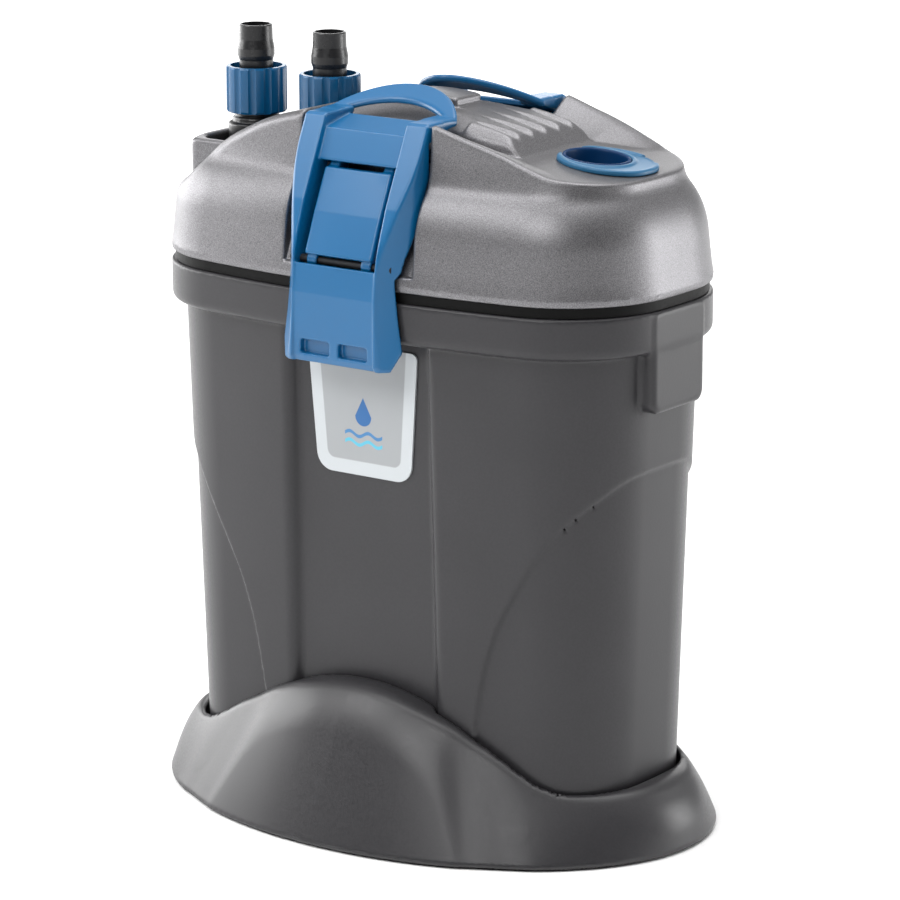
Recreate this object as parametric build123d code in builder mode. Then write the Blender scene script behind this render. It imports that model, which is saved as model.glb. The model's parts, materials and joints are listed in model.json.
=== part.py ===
from build123d import *
import math
import os

os.makedirs("parts", exist_ok=True)

# ----------------------------------------------------------------------------
# Aquarium canister filter with the pump in its head, millimetres.
# +X long axis, towards the priming button; -Y front, +Z up.
# Origin: centre of the foot's underside.
# ----------------------------------------------------------------------------

# outline of the collar, an oval of eight tangent arcs
OUT_A = 123.5          # half length
OUT_B = 65.8           # half width
R_END = 400.0          # end arc
R_COR = 49.87          # corner arc
R_SIDE = 533.83        # front and back arc

# levels
Z_PAD = 0.8            # rubber feet stand this proud
Z_POT = 10.0           # underside of the canister
Z_COLLAR0 = 215.5
Z_COLLAR1 = 233.2
Z_HEAD = 237.8         # lower edge of the head shell
Z_STEP0 = 271.0
Z_STEP1 = 280.0
Z_RIDGE = 312.0
WALL = 3.0
BODY_IN = 6.2          # inset of the canister under its collar
DRAFT = 0.0297         # inset per millimetre of height, downwards

# foot
FOOT_A, FOOT_B = 132.6, 93.4
FOOT_TOP_A, FOOT_TOP_B = 119.6, 61.0
FOOT_WALL = 3.0

# hose connectors
CON_X = (-97.5, -57.2)
NUT_OD = 26.6
TAIL_BARB = 16.1
TAIL_BORE = 12.4

# priming button
PRIME_X = 81.5
PRIME_R = 14.4
SHELF_T = 6.5          # slope of the shelf, degrees
SHELF_Z = 288.3        # shelf height at x = 88

# pump
PUMP_X = 12.0
PUMP_Y = 0.0

# latches
LATCH_A = (-46.2, 291.0)   # link pin in the head (y, z)
LATCH_B = (-67.0, 247.5)   # frame pin in the link (y, z)
PIN_R = 1.6
RUN = 0.06                 # running clearance on radius


def body_inset(z):
    return BODY_IN + (Z_COLLAR0 - z) * DRAFT


def oval_points(a, b, r_end, r_cor, r_side):
    # corner arc centre from internal tangency with the end and side arcs
    c1 = (a - r_end, 0.0)
    c3 = (0.0, b - r_side)
    d1 = r_end - r_cor
    d3 = r_side - r_cor
    dx, dy = c3[0] - c1[0], c3[1] - c1[1]
    ll = math.hypot(dx, dy)
    p = (d1 * d1 - d3 * d3 + ll * ll) / (2 * ll)
    h = math.sqrt(max(d1 * d1 - p * p, 0.0))
    best = None
    for s in (1, -1):
        x = c1[0] + dx * p / ll - s * dy / ll * h
        y = c1[1] + dy * p / ll + s * dx / ll * h
        if best is None or y > best[1]:
            best = (x, y)
    cx, cy = best
    l1 = math.hypot(cx - c1[0], cy - c1[1])
    l3 = math.hypot(cx - c3[0], cy - c3[1])
    t1 = (c1[0] + (cx - c1[0]) / l1 * r_end, c1[1] + (cy - c1[1]) / l1 * r_end)
    t3 = (c3[0] + (cx - c3[0]) / l3 * r_side, c3[1] + (cy - c3[1]) / l3 * r_side)
    a1 = math.atan2(t1[1] - cy, t1[0] - cx)
    a3 = math.atan2(t3[1] - cy, t3[0] - cx)
    am = (a1 + a3) / 2
    tm = (cx + r_cor * math.cos(am), cy + r_cor * math.sin(am))
    return t1, tm, t3


def oval_edges(inset):
    # the eight arcs of the oval, inset by a distance; used inside BuildLine
    t1, tm, t3 = oval_points(OUT_A - inset, OUT_B - inset, R_END - inset,
                             R_COR - inset, R_SIDE - inset)
    a, b = OUT_A - inset, OUT_B - inset
    ThreePointArc((t1[0], -t1[1]), (a, 0), (t1[0], t1[1]))
    ThreePointArc((t1[0], t1[1]), (tm[0], tm[1]), (t3[0], t3[1]))
    ThreePointArc((t3[0], t3[1]), (0, b), (-t3[0], t3[1]))
    ThreePointArc((-t3[0], t3[1]), (-tm[0], tm[1]), (-t1[0], t1[1]))
    ThreePointArc((-t1[0], t1[1]), (-a, 0), (-t1[0], -t1[1]))
    ThreePointArc((-t1[0], -t1[1]), (-tm[0], -tm[1]), (-t3[0], -t3[1]))
    ThreePointArc((-t3[0], -t3[1]), (0, -b), (t3[0], -t3[1]))
    ThreePointArc((t3[0], -t3[1]), (tm[0], -tm[1]), (t1[0], -t1[1]))


def oval_sketch(inset, z):
    with BuildSketch(Plane.XY.offset(z)) as sk:
        with BuildLine():
            oval_edges(inset)
        make_face()
    return sk.sketch


def recess_sketch(z, side, grow):
    # trapezoid of the front or back channel at height z
    yf = (53.0 - (Z_COLLAR0 - z) * 0.019) - grow
    xi = 34.6 + (Z_COLLAR0 - z) * 0.009 + grow
    xo = 36.2 + (Z_COLLAR0 - z) * 0.017 + grow
    pts = [(-xi, side * yf), (xi, side * yf), (xo, side * (yf + 7)), (xo + 1, side * 90),
           (-xo - 1, side * 90), (-xo, side * (yf + 7))]
    with BuildSketch(Plane.XY.offset(z)) as sk:
        Polygon(*pts, align=None)
    return sk.sketch


def oval_block(inset0, z0, inset1, z1):
    # closed drafted block between two insets of the outline, as its own solid
    s0 = oval_sketch(inset0, z0)
    s1 = oval_sketch(inset1, z1)
    with BuildPart() as blk:
        loft([s0.face(), s1.face()], ruled=True)
    return blk.part


def recess_block(z0, z1, side, grow):
    s0 = recess_sketch(z0, side, grow)
    s1 = recess_sketch(z1, side, grow)
    with BuildPart() as blk:
        loft([s0.face(), s1.face()], ruled=True)
    return blk.part


# ----------------------------------------------------------------------------
# Canister
# ----------------------------------------------------------------------------
TUBE_X = -97.5         # down-flow tube at the -X end
TUBE_R = 9.6

outer_body = oval_block(body_inset(Z_POT), Z_POT, BODY_IN, Z_COLLAR0 + 2)
inner_body = oval_block(body_inset(Z_POT + WALL) + WALL, Z_POT + WALL, body_inset(240) + WALL, 240)
rec_f = recess_block(Z_POT - 1, Z_COLLAR0, -1, 0.0)
rec_b = recess_block(Z_POT - 1, Z_COLLAR0, 1, 0.0)
rec_fi = recess_block(Z_POT - 1, 245, -1, WALL)
rec_bi = recess_block(Z_POT - 1, 245, 1, WALL)

collar_main = oval_block(0, Z_COLLAR0 + 1.2, 0, Z_COLLAR1)
collar_lip = oval_block(1.2, Z_COLLAR0, 0, Z_COLLAR0 + 1.2)

with BuildPart() as canister_housing:
    add(outer_body)
    add(rec_f, mode=Mode.SUBTRACT)
    add(rec_b, mode=Mode.SUBTRACT)
    # collar with its rounded lower lip
    add(collar_main)
    add(collar_lip)
    # drop tabs at both ends
    for s in (1, -1):
        with BuildSketch(Plane.YZ.offset(s * 108.0)):
            with Locations((0, (190.0 + 218.0) / 2)):
                RectangleRounded(38.0, 28.0, 5.0)
        extrude(amount=s * 15.3)
    add(inner_body - rec_fi - rec_bi, mode=Mode.SUBTRACT)
canister_housing.part.label = "canister_housing"
export_step(canister_housing.part, "parts/canister_housing.step")

# ----------------------------------------------------------------------------
# Foot: oval skirt whose upper edge rises in a wave to the middle
# ----------------------------------------------------------------------------
WAVE = [(0, 64.3), (12, 64.0), (28, 60.5), (38, 56.5), (50, 51.5), (60, 46.5), (70, 41.0),
        (80, 35.8), (92, 31.0), (107, 28.3), (122, 28.3), (140, 28.3)]


def ellipse_block(a0, b0, z0, a1, b1, z1):
    with BuildPart() as blk:
        with BuildSketch(Plane.XY.offset(z0)):
            Ellipse(a0, b0)
        with BuildSketch(Plane.XY.offset(z1)):
            Ellipse(a1, b1)
        loft(ruled=True)
    return blk.part


with BuildPart() as wave_cut:
    with BuildSketch(Plane.XZ.offset(-110)):
        with BuildLine():
            Spline(*[(-x, z) for x, z in reversed(WAVE)], *[(x, z) for x, z in WAVE[1:]])
            Polyline((140, 28.3), (140, 90), (-140, 90), (-140, 28.3))
        make_face()
    extrude(amount=220)

POT_GAP = 0.5
foot_low = ellipse_block(FOOT_A, FOOT_B, Z_PAD, 129.4, 83.0, 22.0)
foot_mid = ellipse_block(129.4, 83.0, 22.0, 121.0, 67.0, 58.0)
foot_top = ellipse_block(121.0, 67.0, 58.0, 119.0, 61.0, 66.0)
foot_low_i = ellipse_block(FOOT_A - FOOT_WALL, FOOT_B - FOOT_WALL, Z_PAD - 1, 126.4, 80.0, 22.0)
foot_mid_i = ellipse_block(126.4, 80.0, 22.0, 118.0, 64.0, 58.0)

well_wall = oval_block(body_inset(Z_POT) - POT_GAP - 3.0, Z_POT - 3, body_inset(90) - POT_GAP - 3.0, 90)
foot_void = (foot_low_i + foot_mid_i) - Pos(0, 0, -3.2) * wave_cut.part - well_wall \
    + Pos(0, 0, Z_POT - 3 - 6) * Box(2 * 112, 2 * 42, 12)

with BuildPart() as base_foot:
    add(foot_low)
    add(foot_mid)
    add(foot_top)
    add(wave_cut.part, mode=Mode.SUBTRACT)
    # hollow underneath: skirt, wave top and well wall stay
    add(foot_void, mode=Mode.SUBTRACT)
    # pillars for the rubber feet
    with BuildSketch(Plane.XY.offset(Z_PAD)):
        with Locations((82, 56), (82, -56), (-82, 56), (-82, -56)):
            Circle(7.5)
    extrude(amount=14)
    # the pot stands in a close-fitting well
    add(oval_block(body_inset(Z_POT) - POT_GAP, Z_POT, body_inset(90) - POT_GAP, 90)
        - recess_block(Z_POT - 1, 95, -1, -POT_GAP) - recess_block(Z_POT - 1, 95, 1, -POT_GAP),
        mode=Mode.SUBTRACT)
base_foot.part.label = "base_foot"
export_step(base_foot.part, "parts/base_foot.step")

with BuildPart() as foot_pads:
    with BuildSketch(Plane.XY):
        with Locations((82, 56), (82, -56), (-82, 56), (-82, -56)):
            Circle(6.5)
    extrude(amount=Z_PAD)
foot_pads.part.label = "foot_pads"
export_step(foot_pads.part, "parts/foot_pads.step")

# ----------------------------------------------------------------------------
# Label plate on the floor of the front channel
# ----------------------------------------------------------------------------
LABEL_Z = 178.0
LABEL_Y = -(53.0 - (Z_COLLAR0 - LABEL_Z) * 0.019)
with BuildPart() as label_plate:
    with BuildSketch(Plane(origin=(0, LABEL_Y, LABEL_Z), x_dir=(1, 0, 0), z_dir=(0, -1, -0.019))):
        with BuildLine():
            Polyline((-24.3, -24.3), (24.3, -24.3), (28.6, 32.0), (-28.6, 32.0), close=True)
        make_face()
        fillet(vertices().group_by(Axis.Y)[0], 8.0)
        fillet(vertices().group_by(Axis.Y)[-1], 3.0)
    extrude(amount=0.9)
label_plate.part.label = "label_plate"
export_step(label_plate.part, "parts/label_plate.step")

# ----------------------------------------------------------------------------
# Inside the canister
# ----------------------------------------------------------------------------
with BuildPart() as downflow_tube:
    with BuildSketch(Plane.XY.offset(22)):
        with Locations((TUBE_X, 0)):
            Circle(TUBE_R)
            Circle(TUBE_R - 1.8, mode=Mode.SUBTRACT)
    extrude(amount=198)
    # clip flange that seats on the canister floor, with four openings
    with BuildSketch(Plane.XY.offset(Z_POT + WALL)):
        with Locations((TUBE_X, 0)):
            Circle(TUBE_R + 0.6)
            Circle(TUBE_R - 1.8, mode=Mode.SUBTRACT)
    extrude(amount=10)
    with BuildSketch(Plane.XY.offset(Z_POT + WALL + 2)):
        with Locations((TUBE_X, 0)):
            Rectangle(40, 8)
            Rectangle(8, 40)
    extrude(amount=6, mode=Mode.SUBTRACT)
downflow_tube.part.label = "downflow_tube"
export_step(downflow_tube.part, "parts/downflow_tube.step")

TRAY_IN = 1.6          # gap from the canister wall


def tray_block(z0, z1, extra):
    blk = oval_block(body_inset(z0) + WALL + TRAY_IN + extra, z0,
                     body_inset(z0) + WALL + TRAY_IN + extra - 0.6, z1)
    for side in (-1, 1):
        blk = blk - recess_block(z0 - 1, z1 + 1, side, WALL + TRAY_IN + extra)
    return blk - Pos(-100 - 84.0 + extra, 0, z0) * Box(200, 200, 200)


def grid_holes(z, depth, step, hole, x0, x1, yh):
    pts = []
    nx = int((x1 - x0) / step)
    ny = int(2 * yh / step)
    for i in range(nx + 1):
        for j in range(ny + 1):
            pts.append((x0 + i * step, -yh + j * step))
    return pts


grid_blk = tray_block(23.2, 26.2, 0.0)
foam_low_blk = tray_block(29.2, 80.0, 2.4)
foam_top_blk = tray_block(154.0, 205.0, 2.4)

with BuildPart() as bottom_grid:
    add(grid_blk)
    with BuildSketch(Plane.XY.offset(22)):
        with Locations(*grid_holes(0, 0, 16.0, 10, -74, 86, 32)):
            Rectangle(12.5, 12.5)
    extrude(amount=6, mode=Mode.SUBTRACT)
    # legs that hold the grid off the floor
    with BuildSketch(Plane.XY.offset(Z_POT + WALL)):
        with Locations((-66, 24), (-66, -24), (30, 24), (30, -24), (-18, 24), (-18, -24), (78, 24), (78, -24)):
            Circle(2.2)
    extrude(amount=10.4)
bottom_grid.part.label = "bottom_grid"
export_step(bottom_grid.part, "parts/bottom_grid.step")

BASKETS = (("basket_lower", 26.8), ("basket_middle", 89.2), ("basket_upper", 151.6))
BASKET_H = 61.8
media_specs = []
for bname, bz in BASKETS:
    wall_blk = tray_block(bz, bz + BASKET_H, 0.0)
    hollow = tray_block(bz + 2.0, bz + BASKET_H + 1, 1.8)
    with BuildPart() as basket:
        add(wall_blk)
        add(hollow, mode=Mode.SUBTRACT)
        # open floor
        with BuildSketch(Plane.XY.offset(bz - 1)):
            with Locations(*grid_holes(0, 0, 16.0, 10, -74, 86, 32)):
                Rectangle(12.5, 12.5)
        extrude(amount=4, mode=Mode.SUBTRACT)
    basket.part.label = bname
    export_step(basket.part, "parts/" + bname + ".step")

# media: coarse foam low, ceramic rings in the middle, fine foam at the top
with BuildPart() as coarse_foam:
    add(foam_low_blk)
coarse_foam.part.label = "coarse_foam"
export_step(coarse_foam.part, "parts/coarse_foam.step")

with BuildPart() as fine_foam:
    add(foam_top_blk)
fine_foam.part.label = "fine_foam"
export_step(fine_foam.part, "parts/fine_foam.step")

# ceramic rings, one layer standing on the middle basket's floor
with BuildPart() as ceramic_rings:
    with BuildSketch(Plane.XY.offset(91.4)):
        with Locations(*grid_holes(0, 0, 17.0, 10, -74, 85, 34)):
            Circle(7.6)
            Circle(3.4, mode=Mode.SUBTRACT)
    extrude(amount=40)
ceramic_rings.part.label = "ceramic_rings"
export_step(ceramic_rings.part, "parts/ceramic_rings.step")

# ----------------------------------------------------------------------------
# Head: base plate with spigot, seal, shell
# ----------------------------------------------------------------------------
Z_PLATE0 = Z_COLLAR1 + 0.3
Z_PLATE1 = Z_HEAD - 0.2
SPIGOT_Z = 222.0

plate_blk = oval_block(1.5, Z_PLATE0, 1.5, Z_PLATE1)
spig_out = oval_block(12.0, SPIGOT_Z, 12.0, Z_PLATE0 + 0.5) \
    - recess_block(SPIGOT_Z - 1, Z_PLATE0, -1, WALL + 3.2) - recess_block(SPIGOT_Z - 1, Z_PLATE0, 1, WALL + 3.2)
spig_in = oval_block(15.0, SPIGOT_Z - 1, 15.0, Z_PLATE0) \
    - recess_block(SPIGOT_Z - 2, Z_PLATE0 + 1, -1, WALL + 6.2) - recess_block(SPIGOT_Z - 2, Z_PLATE0 + 1, 1, WALL + 6.2)

SCREWS = [(70, 40), (70, -40), (-60, 40), (-60, -40), (104.5, 0)]

with BuildPart() as head_base_plate:
    add(plate_blk)
    add(spig_out)
    add(spig_in, mode=Mode.SUBTRACT)
    with BuildSketch(Plane.XY.offset(SPIGOT_Z)):
        with Locations((PUMP_X, PUMP_Y)):
            Circle(12.1)
        with Locations((CON_X[0], 0), (CON_X[1], 0)):
            Circle(7.5)
        with Locations(*SCREWS):
            Circle(1.7)
    extrude(amount=20, mode=Mode.SUBTRACT)
head_base_plate.part.label = "head_base_plate"
export_step(head_base_plate.part, "parts/head_base_plate.step")

seal_out = oval_block(9.25, 225.5, 9.25, 229.0) \
    - recess_block(225, 230, -1, WALL + 0.4) - recess_block(225, 230, 1, WALL + 0.4)
seal_in = oval_block(12.0, 225.0, 12.0, 230.0) \
    - recess_block(224, 231, -1, WALL + 3.2) - recess_block(224, 231, 1, WALL + 3.2)
with BuildPart() as head_seal:
    add(seal_out)
    add(seal_in, mode=Mode.SUBTRACT)
head_seal.part.label = "head_seal"
export_step(head_seal.part, "parts/head_seal.step")

RIDGE = [(0, 311.2), (12, 310.5), (24, 308.6), (36.5, 305.0), (46.6, 302.0), (57.6, 299.0), (67, 296.0),
         (78, 292.0), (87, 289.2), (94.7, 287.0), (104, 284.2), (118, 279.5)]


def ridge_cut(dz):
    with BuildPart() as blk:
        with BuildSketch(Plane.XZ.offset(-90)):
            with BuildLine():
                Spline(*[(-x, z + dz) for x, z in reversed(RIDGE)], *[(x, z + dz) for x, z in RIDGE[1:]])
                Polyline((118, 279.5 + dz), (140, 279.5 + dz), (140, 340), (-140, 340),
                         (-140, 279.5 + dz), (-118, 279.5 + dz))
            make_face()
        extrude(amount=180)
    return blk.part


def head_stack(grow, z_low):
    blk = oval_block(0.0 + grow, z_low, 3.5 + grow, Z_STEP0)
    blk = blk + oval_block(3.5 + grow, Z_STEP0, 11.5 + grow, Z_STEP1)
    blk = blk + oval_block(11.5 + grow, Z_STEP1, 13.5 + grow, 287.0)
    blk = blk + oval_block(13.5 + grow, 287.0, 15.5 + grow, 316.0)
    return blk


def shelf_z(x):
    return SHELF_Z - math.tan(math.radians(SHELF_T)) * (x - 88.0)


def bay_block(dz, dy):
    # space above the shelf, its sloping block face and the flaring ridge walls
    with BuildPart() as a:
        with BuildSketch(Plane.XZ.offset(-80)):
            Polygon((52.2 - dz, 301.0 + dz * 0), (61.5 - dz * 0.5, shelf_z(61.5) - dz), (135, shelf_z(135) - dz),
                    (135, 335), (52.2 - dz, 335), align=None)
        extrude(amount=160)
    with BuildSketch(Plane.XY.offset(284.0)) as lo:
        Polygon((40, 17.0 + dy), (94, 36.0 + dy), (140, 56.0 + dy), (140, -56.0 - dy), (94, -36.0 - dy),
                (40, -17.0 - dy), align=None)
    with BuildSketch(Plane.XY.offset(312.0)) as hi:
        Polygon((40, 70.0 + dy), (94, 90.0 + dy), (140, 110.0 + dy), (140, -110.0 - dy), (94, -90.0 - dy),
                (40, -70.0 - dy), align=None)
    with BuildPart() as b:
        loft([lo.sketch.face(), hi.sketch.face()], ruled=True)
    return a.part & b.part


def valley_block(side, dz):
    with BuildPart() as v:
        with BuildSketch(Plane.YZ.offset(17.0 - dz)):
            Polygon((side * (28.0 - dz), 330), (side * (27.4 - dz), 292.0 - dz), (side * 31.0, 292.0 - dz),
                    (side * (47.5 + dz), 303.0 - dz), (side * (60 + dz), 330), align=None)
        extrude(amount=47.0 + 2 * dz)
    return v.part


def notch_block(side, grow):
    g = grow
    with BuildPart() as n:
        with BuildSketch(Plane.YZ.offset(-33.2 - g)):
            Polygon((side * 90, 244.5 - g), (side * (62.2 - g), 244.5 - g), (side * (60 - g), 250 - g),
                    (side * (46 - g), 276 - g), (side * (42.5 - g), 284 - g), (side * (42.5 - g), 294 - g),
                    (side * (30 - g), 298.5 - g), (side * (14 - g), 306 - g), (side * (9 - g), 306 - g),
                    (side * (9 - g), 340), (side * 90, 340), align=None)
        extrude(amount=66.4 + 2 * g)
    return n.part


def pocket_block(grow):
    with BuildPart() as p:
        with BuildSketch(Plane.XY.offset(250.0 - grow)):
            with Locations(((-110.5 - 38.0) / 2, 0)):
                RectangleRounded(72.5 + 2 * grow, 52.0 + 2 * grow, 10.0 + grow)
        extrude(amount=90)
    return p.part


pocket_wall = oval_block(8.5, Z_STEP0 - 1, 8.5, 287.0) & (Pos(-100, 0, 280) * Box(34, 66, 40))
head_outer = head_stack(0.0, Z_HEAD) - ridge_cut(0.0) + pocket_wall
head_inner = head_stack(3.0, Z_HEAD - 0.5) - ridge_cut(-3.2)
head_keep = pocket_block(3.0)
head_void = head_inner - head_keep - bay_block(3.0, 3.0) - notch_block(-1, 3.0) - notch_block(1, 3.0) \
    - valley_block(-1, 3.0) - valley_block(1, 3.0)

with BuildPart() as head_shell:
    add(head_outer)
    add(head_void, mode=Mode.SUBTRACT)
    add(bay_block(0.0, 0.0), mode=Mode.SUBTRACT)
    add(valley_block(-1, 0.0), mode=Mode.SUBTRACT)
    add(valley_block(1, 0.0), mode=Mode.SUBTRACT)
    add(notch_block(-1, 0.0), mode=Mode.SUBTRACT)
    add(notch_block(1, 0.0), mode=Mode.SUBTRACT)
    add(pocket_block(0.0), mode=Mode.SUBTRACT)
    # screw bosses with their ribs
    for bx, by in SCREWS[:4]:
        s = 1 if by > 0 else -1
        with BuildSketch(Plane.XY.offset(Z_HEAD)):
            with Locations((bx, by)):
                Circle(4.5)
            with Locations((bx, (by + s * 58.5) / 2)):
                Rectangle(3.0, abs(s * 58.5 - by))
        extrude(amount=12)
    with BuildSketch(Plane.XY.offset(Z_HEAD)):
        with Locations((104.5, 0)):
            Circle(4.5)
        with Locations((113, 0)):
            Rectangle(16.0, 3.0)
    extrude(amount=12)
    # screw holes, connector holes in the pocket floor, priming bore, pin bores, gland bore
    with BuildSketch(Plane.XY.offset(Z_HEAD - 1)):
        with Locations(*SCREWS):
            Circle(1.5)
    extrude(amount=12, mode=Mode.SUBTRACT)
    with BuildSketch(Plane.XY.offset(240)):
        with Locations((CON_X[0], 0), (CON_X[1], 0)):
            Circle(7.5)
    extrude(amount=20, mode=Mode.SUBTRACT)
    with BuildSketch(Plane.XY.offset(262)):
        with Locations((PRIME_X, 0)):
            Circle(15.6)
    extrude(amount=40, mode=Mode.SUBTRACT)
    for s in (-1, 1):
        with BuildSketch(Plane.YZ.offset(-40)):
            with Locations((s * -LATCH_A[0], LATCH_A[1])):
                Circle(PIN_R)
        extrude(amount=80, mode=Mode.SUBTRACT)
    with BuildSketch(Plane.XZ.offset(-70)):
        with Locations((-72, 252)):
            Circle(5.0)
    extrude(amount=17, mode=Mode.SUBTRACT)
    # five tapered grip grooves in the block's top
    for gy in (-20.0, -10.0, 0.0, 10.0, 20.0):
        with BuildSketch(Plane(origin=(20.0, gy, 308.2), x_dir=(0, 1, 0), z_dir=(1, 0, -0.13))):
            with Locations((0, 0)):
                Circle(1.3)
        with BuildSketch(Plane(origin=(58.0, gy, 300.6), x_dir=(0, 1, 0), z_dir=(1, 0, -0.2))):
            Circle(2.6)
        loft(mode=Mode.SUBTRACT)
head_shell.part.label = "head_shell"
export_step(head_shell.part, "parts/head_shell.step")

# ----------------------------------------------------------------------------
# Priming pump: bezel, cylinder, plunger, spring
# ----------------------------------------------------------------------------
shelf_plane = Plane(origin=(88.0, 0, SHELF_Z + 0.02), x_dir=(1, 0, -math.tan(math.radians(SHELF_T))),
                    z_dir=(math.tan(math.radians(SHELF_T)), 0, 1))

with BuildPart() as priming_bezel:
    with BuildSketch(shelf_plane):
        with BuildLine():
            ThreePointArc((-15.5, -20.6), (-20.4, 0), (-15.5, 20.6))
            ThreePointArc((-15.5, 20.6), (1.5, 25.2), (15.8, 17.5))
            ThreePointArc((15.8, 17.5), (20.0, 0), (15.8, -17.5))
            ThreePointArc((15.8, -17.5), (1.5, -25.2), (-15.5, -20.6))
        make_face()
        fillet(vertices(), 4.0)
    extrude(amount=1.8)
    chamfer(faces().sort_by(Axis.Z)[-1].edges(), 0.5)
    with BuildSketch(Plane.XY.offset(270)):
        with Locations((PRIME_X, 0)):
            Circle(PRIME_R + 0.25)
    extrude(amount=40, mode=Mode.SUBTRACT)
priming_bezel.part.label = "priming_bezel"
export_step(priming_bezel.part, "parts/priming_bezel.step")

with BuildPart() as priming_cylinder:
    with BuildSketch(Plane.XY.offset(Z_PLATE1)):
        with Locations((PRIME_X, 0)):
            Circle(17.6)
    extrude(amount=279.6 - Z_PLATE1)
    with BuildSketch(Plane.XY.offset(Z_PLATE1 + 3)):
        with Locations((PRIME_X, 0)):
            Circle(PRIME_R + 0.08)
    extrude(amount=50, mode=Mode.SUBTRACT)
priming_cylinder.part.label = "priming_cylinder"
export_step(priming_cylinder.part, "parts/priming_cylinder.step")

with BuildPart() as priming_plunger:
    with BuildSketch(Plane.XY.offset(262)):
        with Locations((PRIME_X, 0)):
            Circle(PRIME_R)
    extrude(amount=35)
    # finger bowl
    with BuildSketch(Plane.XY.offset(268)):
        with Locations((PRIME_X, 0)):
            Circle(PRIME_R - 2.4)
    extrude(amount=30, taper=-3, mode=Mode.SUBTRACT)
    # rim follows the slope of the shelf
    with BuildSketch(Plane.XZ.offset(-30)):
        Polygon((60, shelf_z(60) + 1.9), (110, shelf_z(110) + 1.9), (110, 320), (60, 320), align=None)
    extrude(amount=60, mode=Mode.SUBTRACT)
    # spring seat
    with BuildSketch(Plane.XY.offset(260)):
        with Locations((PRIME_X, 0)):
            Circle(6.0)
    extrude(amount=2.0)
priming_plunger.part.label = "priming_plunger"
export_step(priming_plunger.part, "parts/priming_plunger.step")

SPR_Z0 = Z_PLATE1 + 3
with BuildPart() as priming_spring:
    with BuildLine():
        Helix(pitch=3.35, height=19.8, radius=8.6, center=(PRIME_X, 0, SPR_Z0 + 0.75))
    with BuildSketch(Plane(origin=(PRIME_X + 8.6, 0, SPR_Z0 + 0.75), x_dir=(1, 0, 0), z_dir=(0, 1, 0))):
        Circle(0.6)
    sweep(is_frenet=True)
priming_spring.part.label = "priming_spring"
export_step(priming_spring.part, "parts/priming_spring.step")

# ----------------------------------------------------------------------------
# Pump: motor block, stator, shaft, bushes, rotor, impeller, cover
# ----------------------------------------------------------------------------
with BuildPart() as pump_housing:
    with BuildSketch(Plane.XY.offset(Z_PLATE1)):
        with Locations((PUMP_X, PUMP_Y)):
            Circle(27.0)
        with Locations((PUMP_X + 24, 0)):
            RectangleRounded(26, 30, 4)
    extrude(amount=38.4)
    fillet(faces().sort_by(Axis.Z)[-1].edges(), 2.5)
    # potted coil space, open underneath
    with BuildSketch(Plane.XY.offset(Z_PLATE1)):
        with Locations((PUMP_X, PUMP_Y)):
            Circle(24.5)
            Circle(14.4, mode=Mode.SUBTRACT)
    extrude(amount=32.0, mode=Mode.SUBTRACT)
    # rotor well
    with BuildSketch(Plane.XY.offset(Z_PLATE1)):
        with Locations((PUMP_X, PUMP_Y)):
            Circle(12.1)
    extrude(amount=34.0, mode=Mode.SUBTRACT)
pump_housing.part.label = "pump_housing"
export_step(pump_housing.part, "parts/pump_housing.step")

with BuildPart() as stator:
    with BuildSketch(Plane.XY.offset(Z_PLATE1)):
        with Locations((PUMP_X, PUMP_Y)):
            Circle(24.5)
            Circle(14.4, mode=Mode.SUBTRACT)
    extrude(amount=31.5)
stator.part.label = "stator"
export_step(stator.part, "parts/stator.step")

SHAFT_R = 1.5
with BuildPart() as rotor_shaft:
    with BuildSketch(Plane.XY.offset(218.5)):
        with Locations((PUMP_X, PUMP_Y)):
            Circle(SHAFT_R)
    extrude(amount=52.0)
rotor_shaft.part.label = "rotor_shaft"
export_step(rotor_shaft.part, "parts/rotor_shaft.step")

with BuildPart() as upper_bush:
    with BuildSketch(Plane.XY.offset(268.4)):
        with Locations((PUMP_X, PUMP_Y)):
            Circle(12.1)
            Circle(SHAFT_R, mode=Mode.SUBTRACT)
    extrude(amount=3.0)
upper_bush.part.label = "upper_bush"
export_step(upper_bush.part, "parts/upper_bush.step")

with BuildPart() as lower_bush:
    with BuildSketch(Plane.XY.offset(218.5)):
        with Locations((PUMP_X, PUMP_Y)):
            Circle(4.0)
            Circle(SHAFT_R, mode=Mode.SUBTRACT)
    extrude(amount=3.2)
lower_bush.part.label = "lower_bush"
export_step(lower_bush.part, "parts/lower_bush.step")

with BuildPart() as rotor_magnet:
    with BuildSketch(Plane.XY.offset(240.0)):
        with Locations((PUMP_X, PUMP_Y)):
            Circle(9.6)
            Circle(4.0, mode=Mode.SUBTRACT)
    extrude(amount=27.0)
rotor_magnet.part.label = "rotor_magnet"
export_step(rotor_magnet.part, "parts/rotor_magnet.step")

with BuildPart() as impeller:
    with BuildSketch(Plane.XY.offset(223.0)):
        with Locations((PUMP_X, PUMP_Y)):
            Circle(4.0)
            Circle(SHAFT_R + RUN, mode=Mode.SUBTRACT)
    extrude(amount=44.0)
    with BuildSketch(Plane.XY.offset(223.0)):
        with Locations((PUMP_X, PUMP_Y)):
            with PolarLocations(9.5, 6):
                Rectangle(12.4, 1.6)
    extrude(amount=8.2)
    with BuildSketch(Plane.XY.offset(230.2)):
        with Locations((PUMP_X, PUMP_Y)):
            Circle(15.6)
            Circle(SHAFT_R + RUN, mode=Mode.SUBTRACT)
    extrude(amount=1.6)
impeller.part.label = "impeller"
export_step(impeller.part, "parts/impeller.step")

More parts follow.
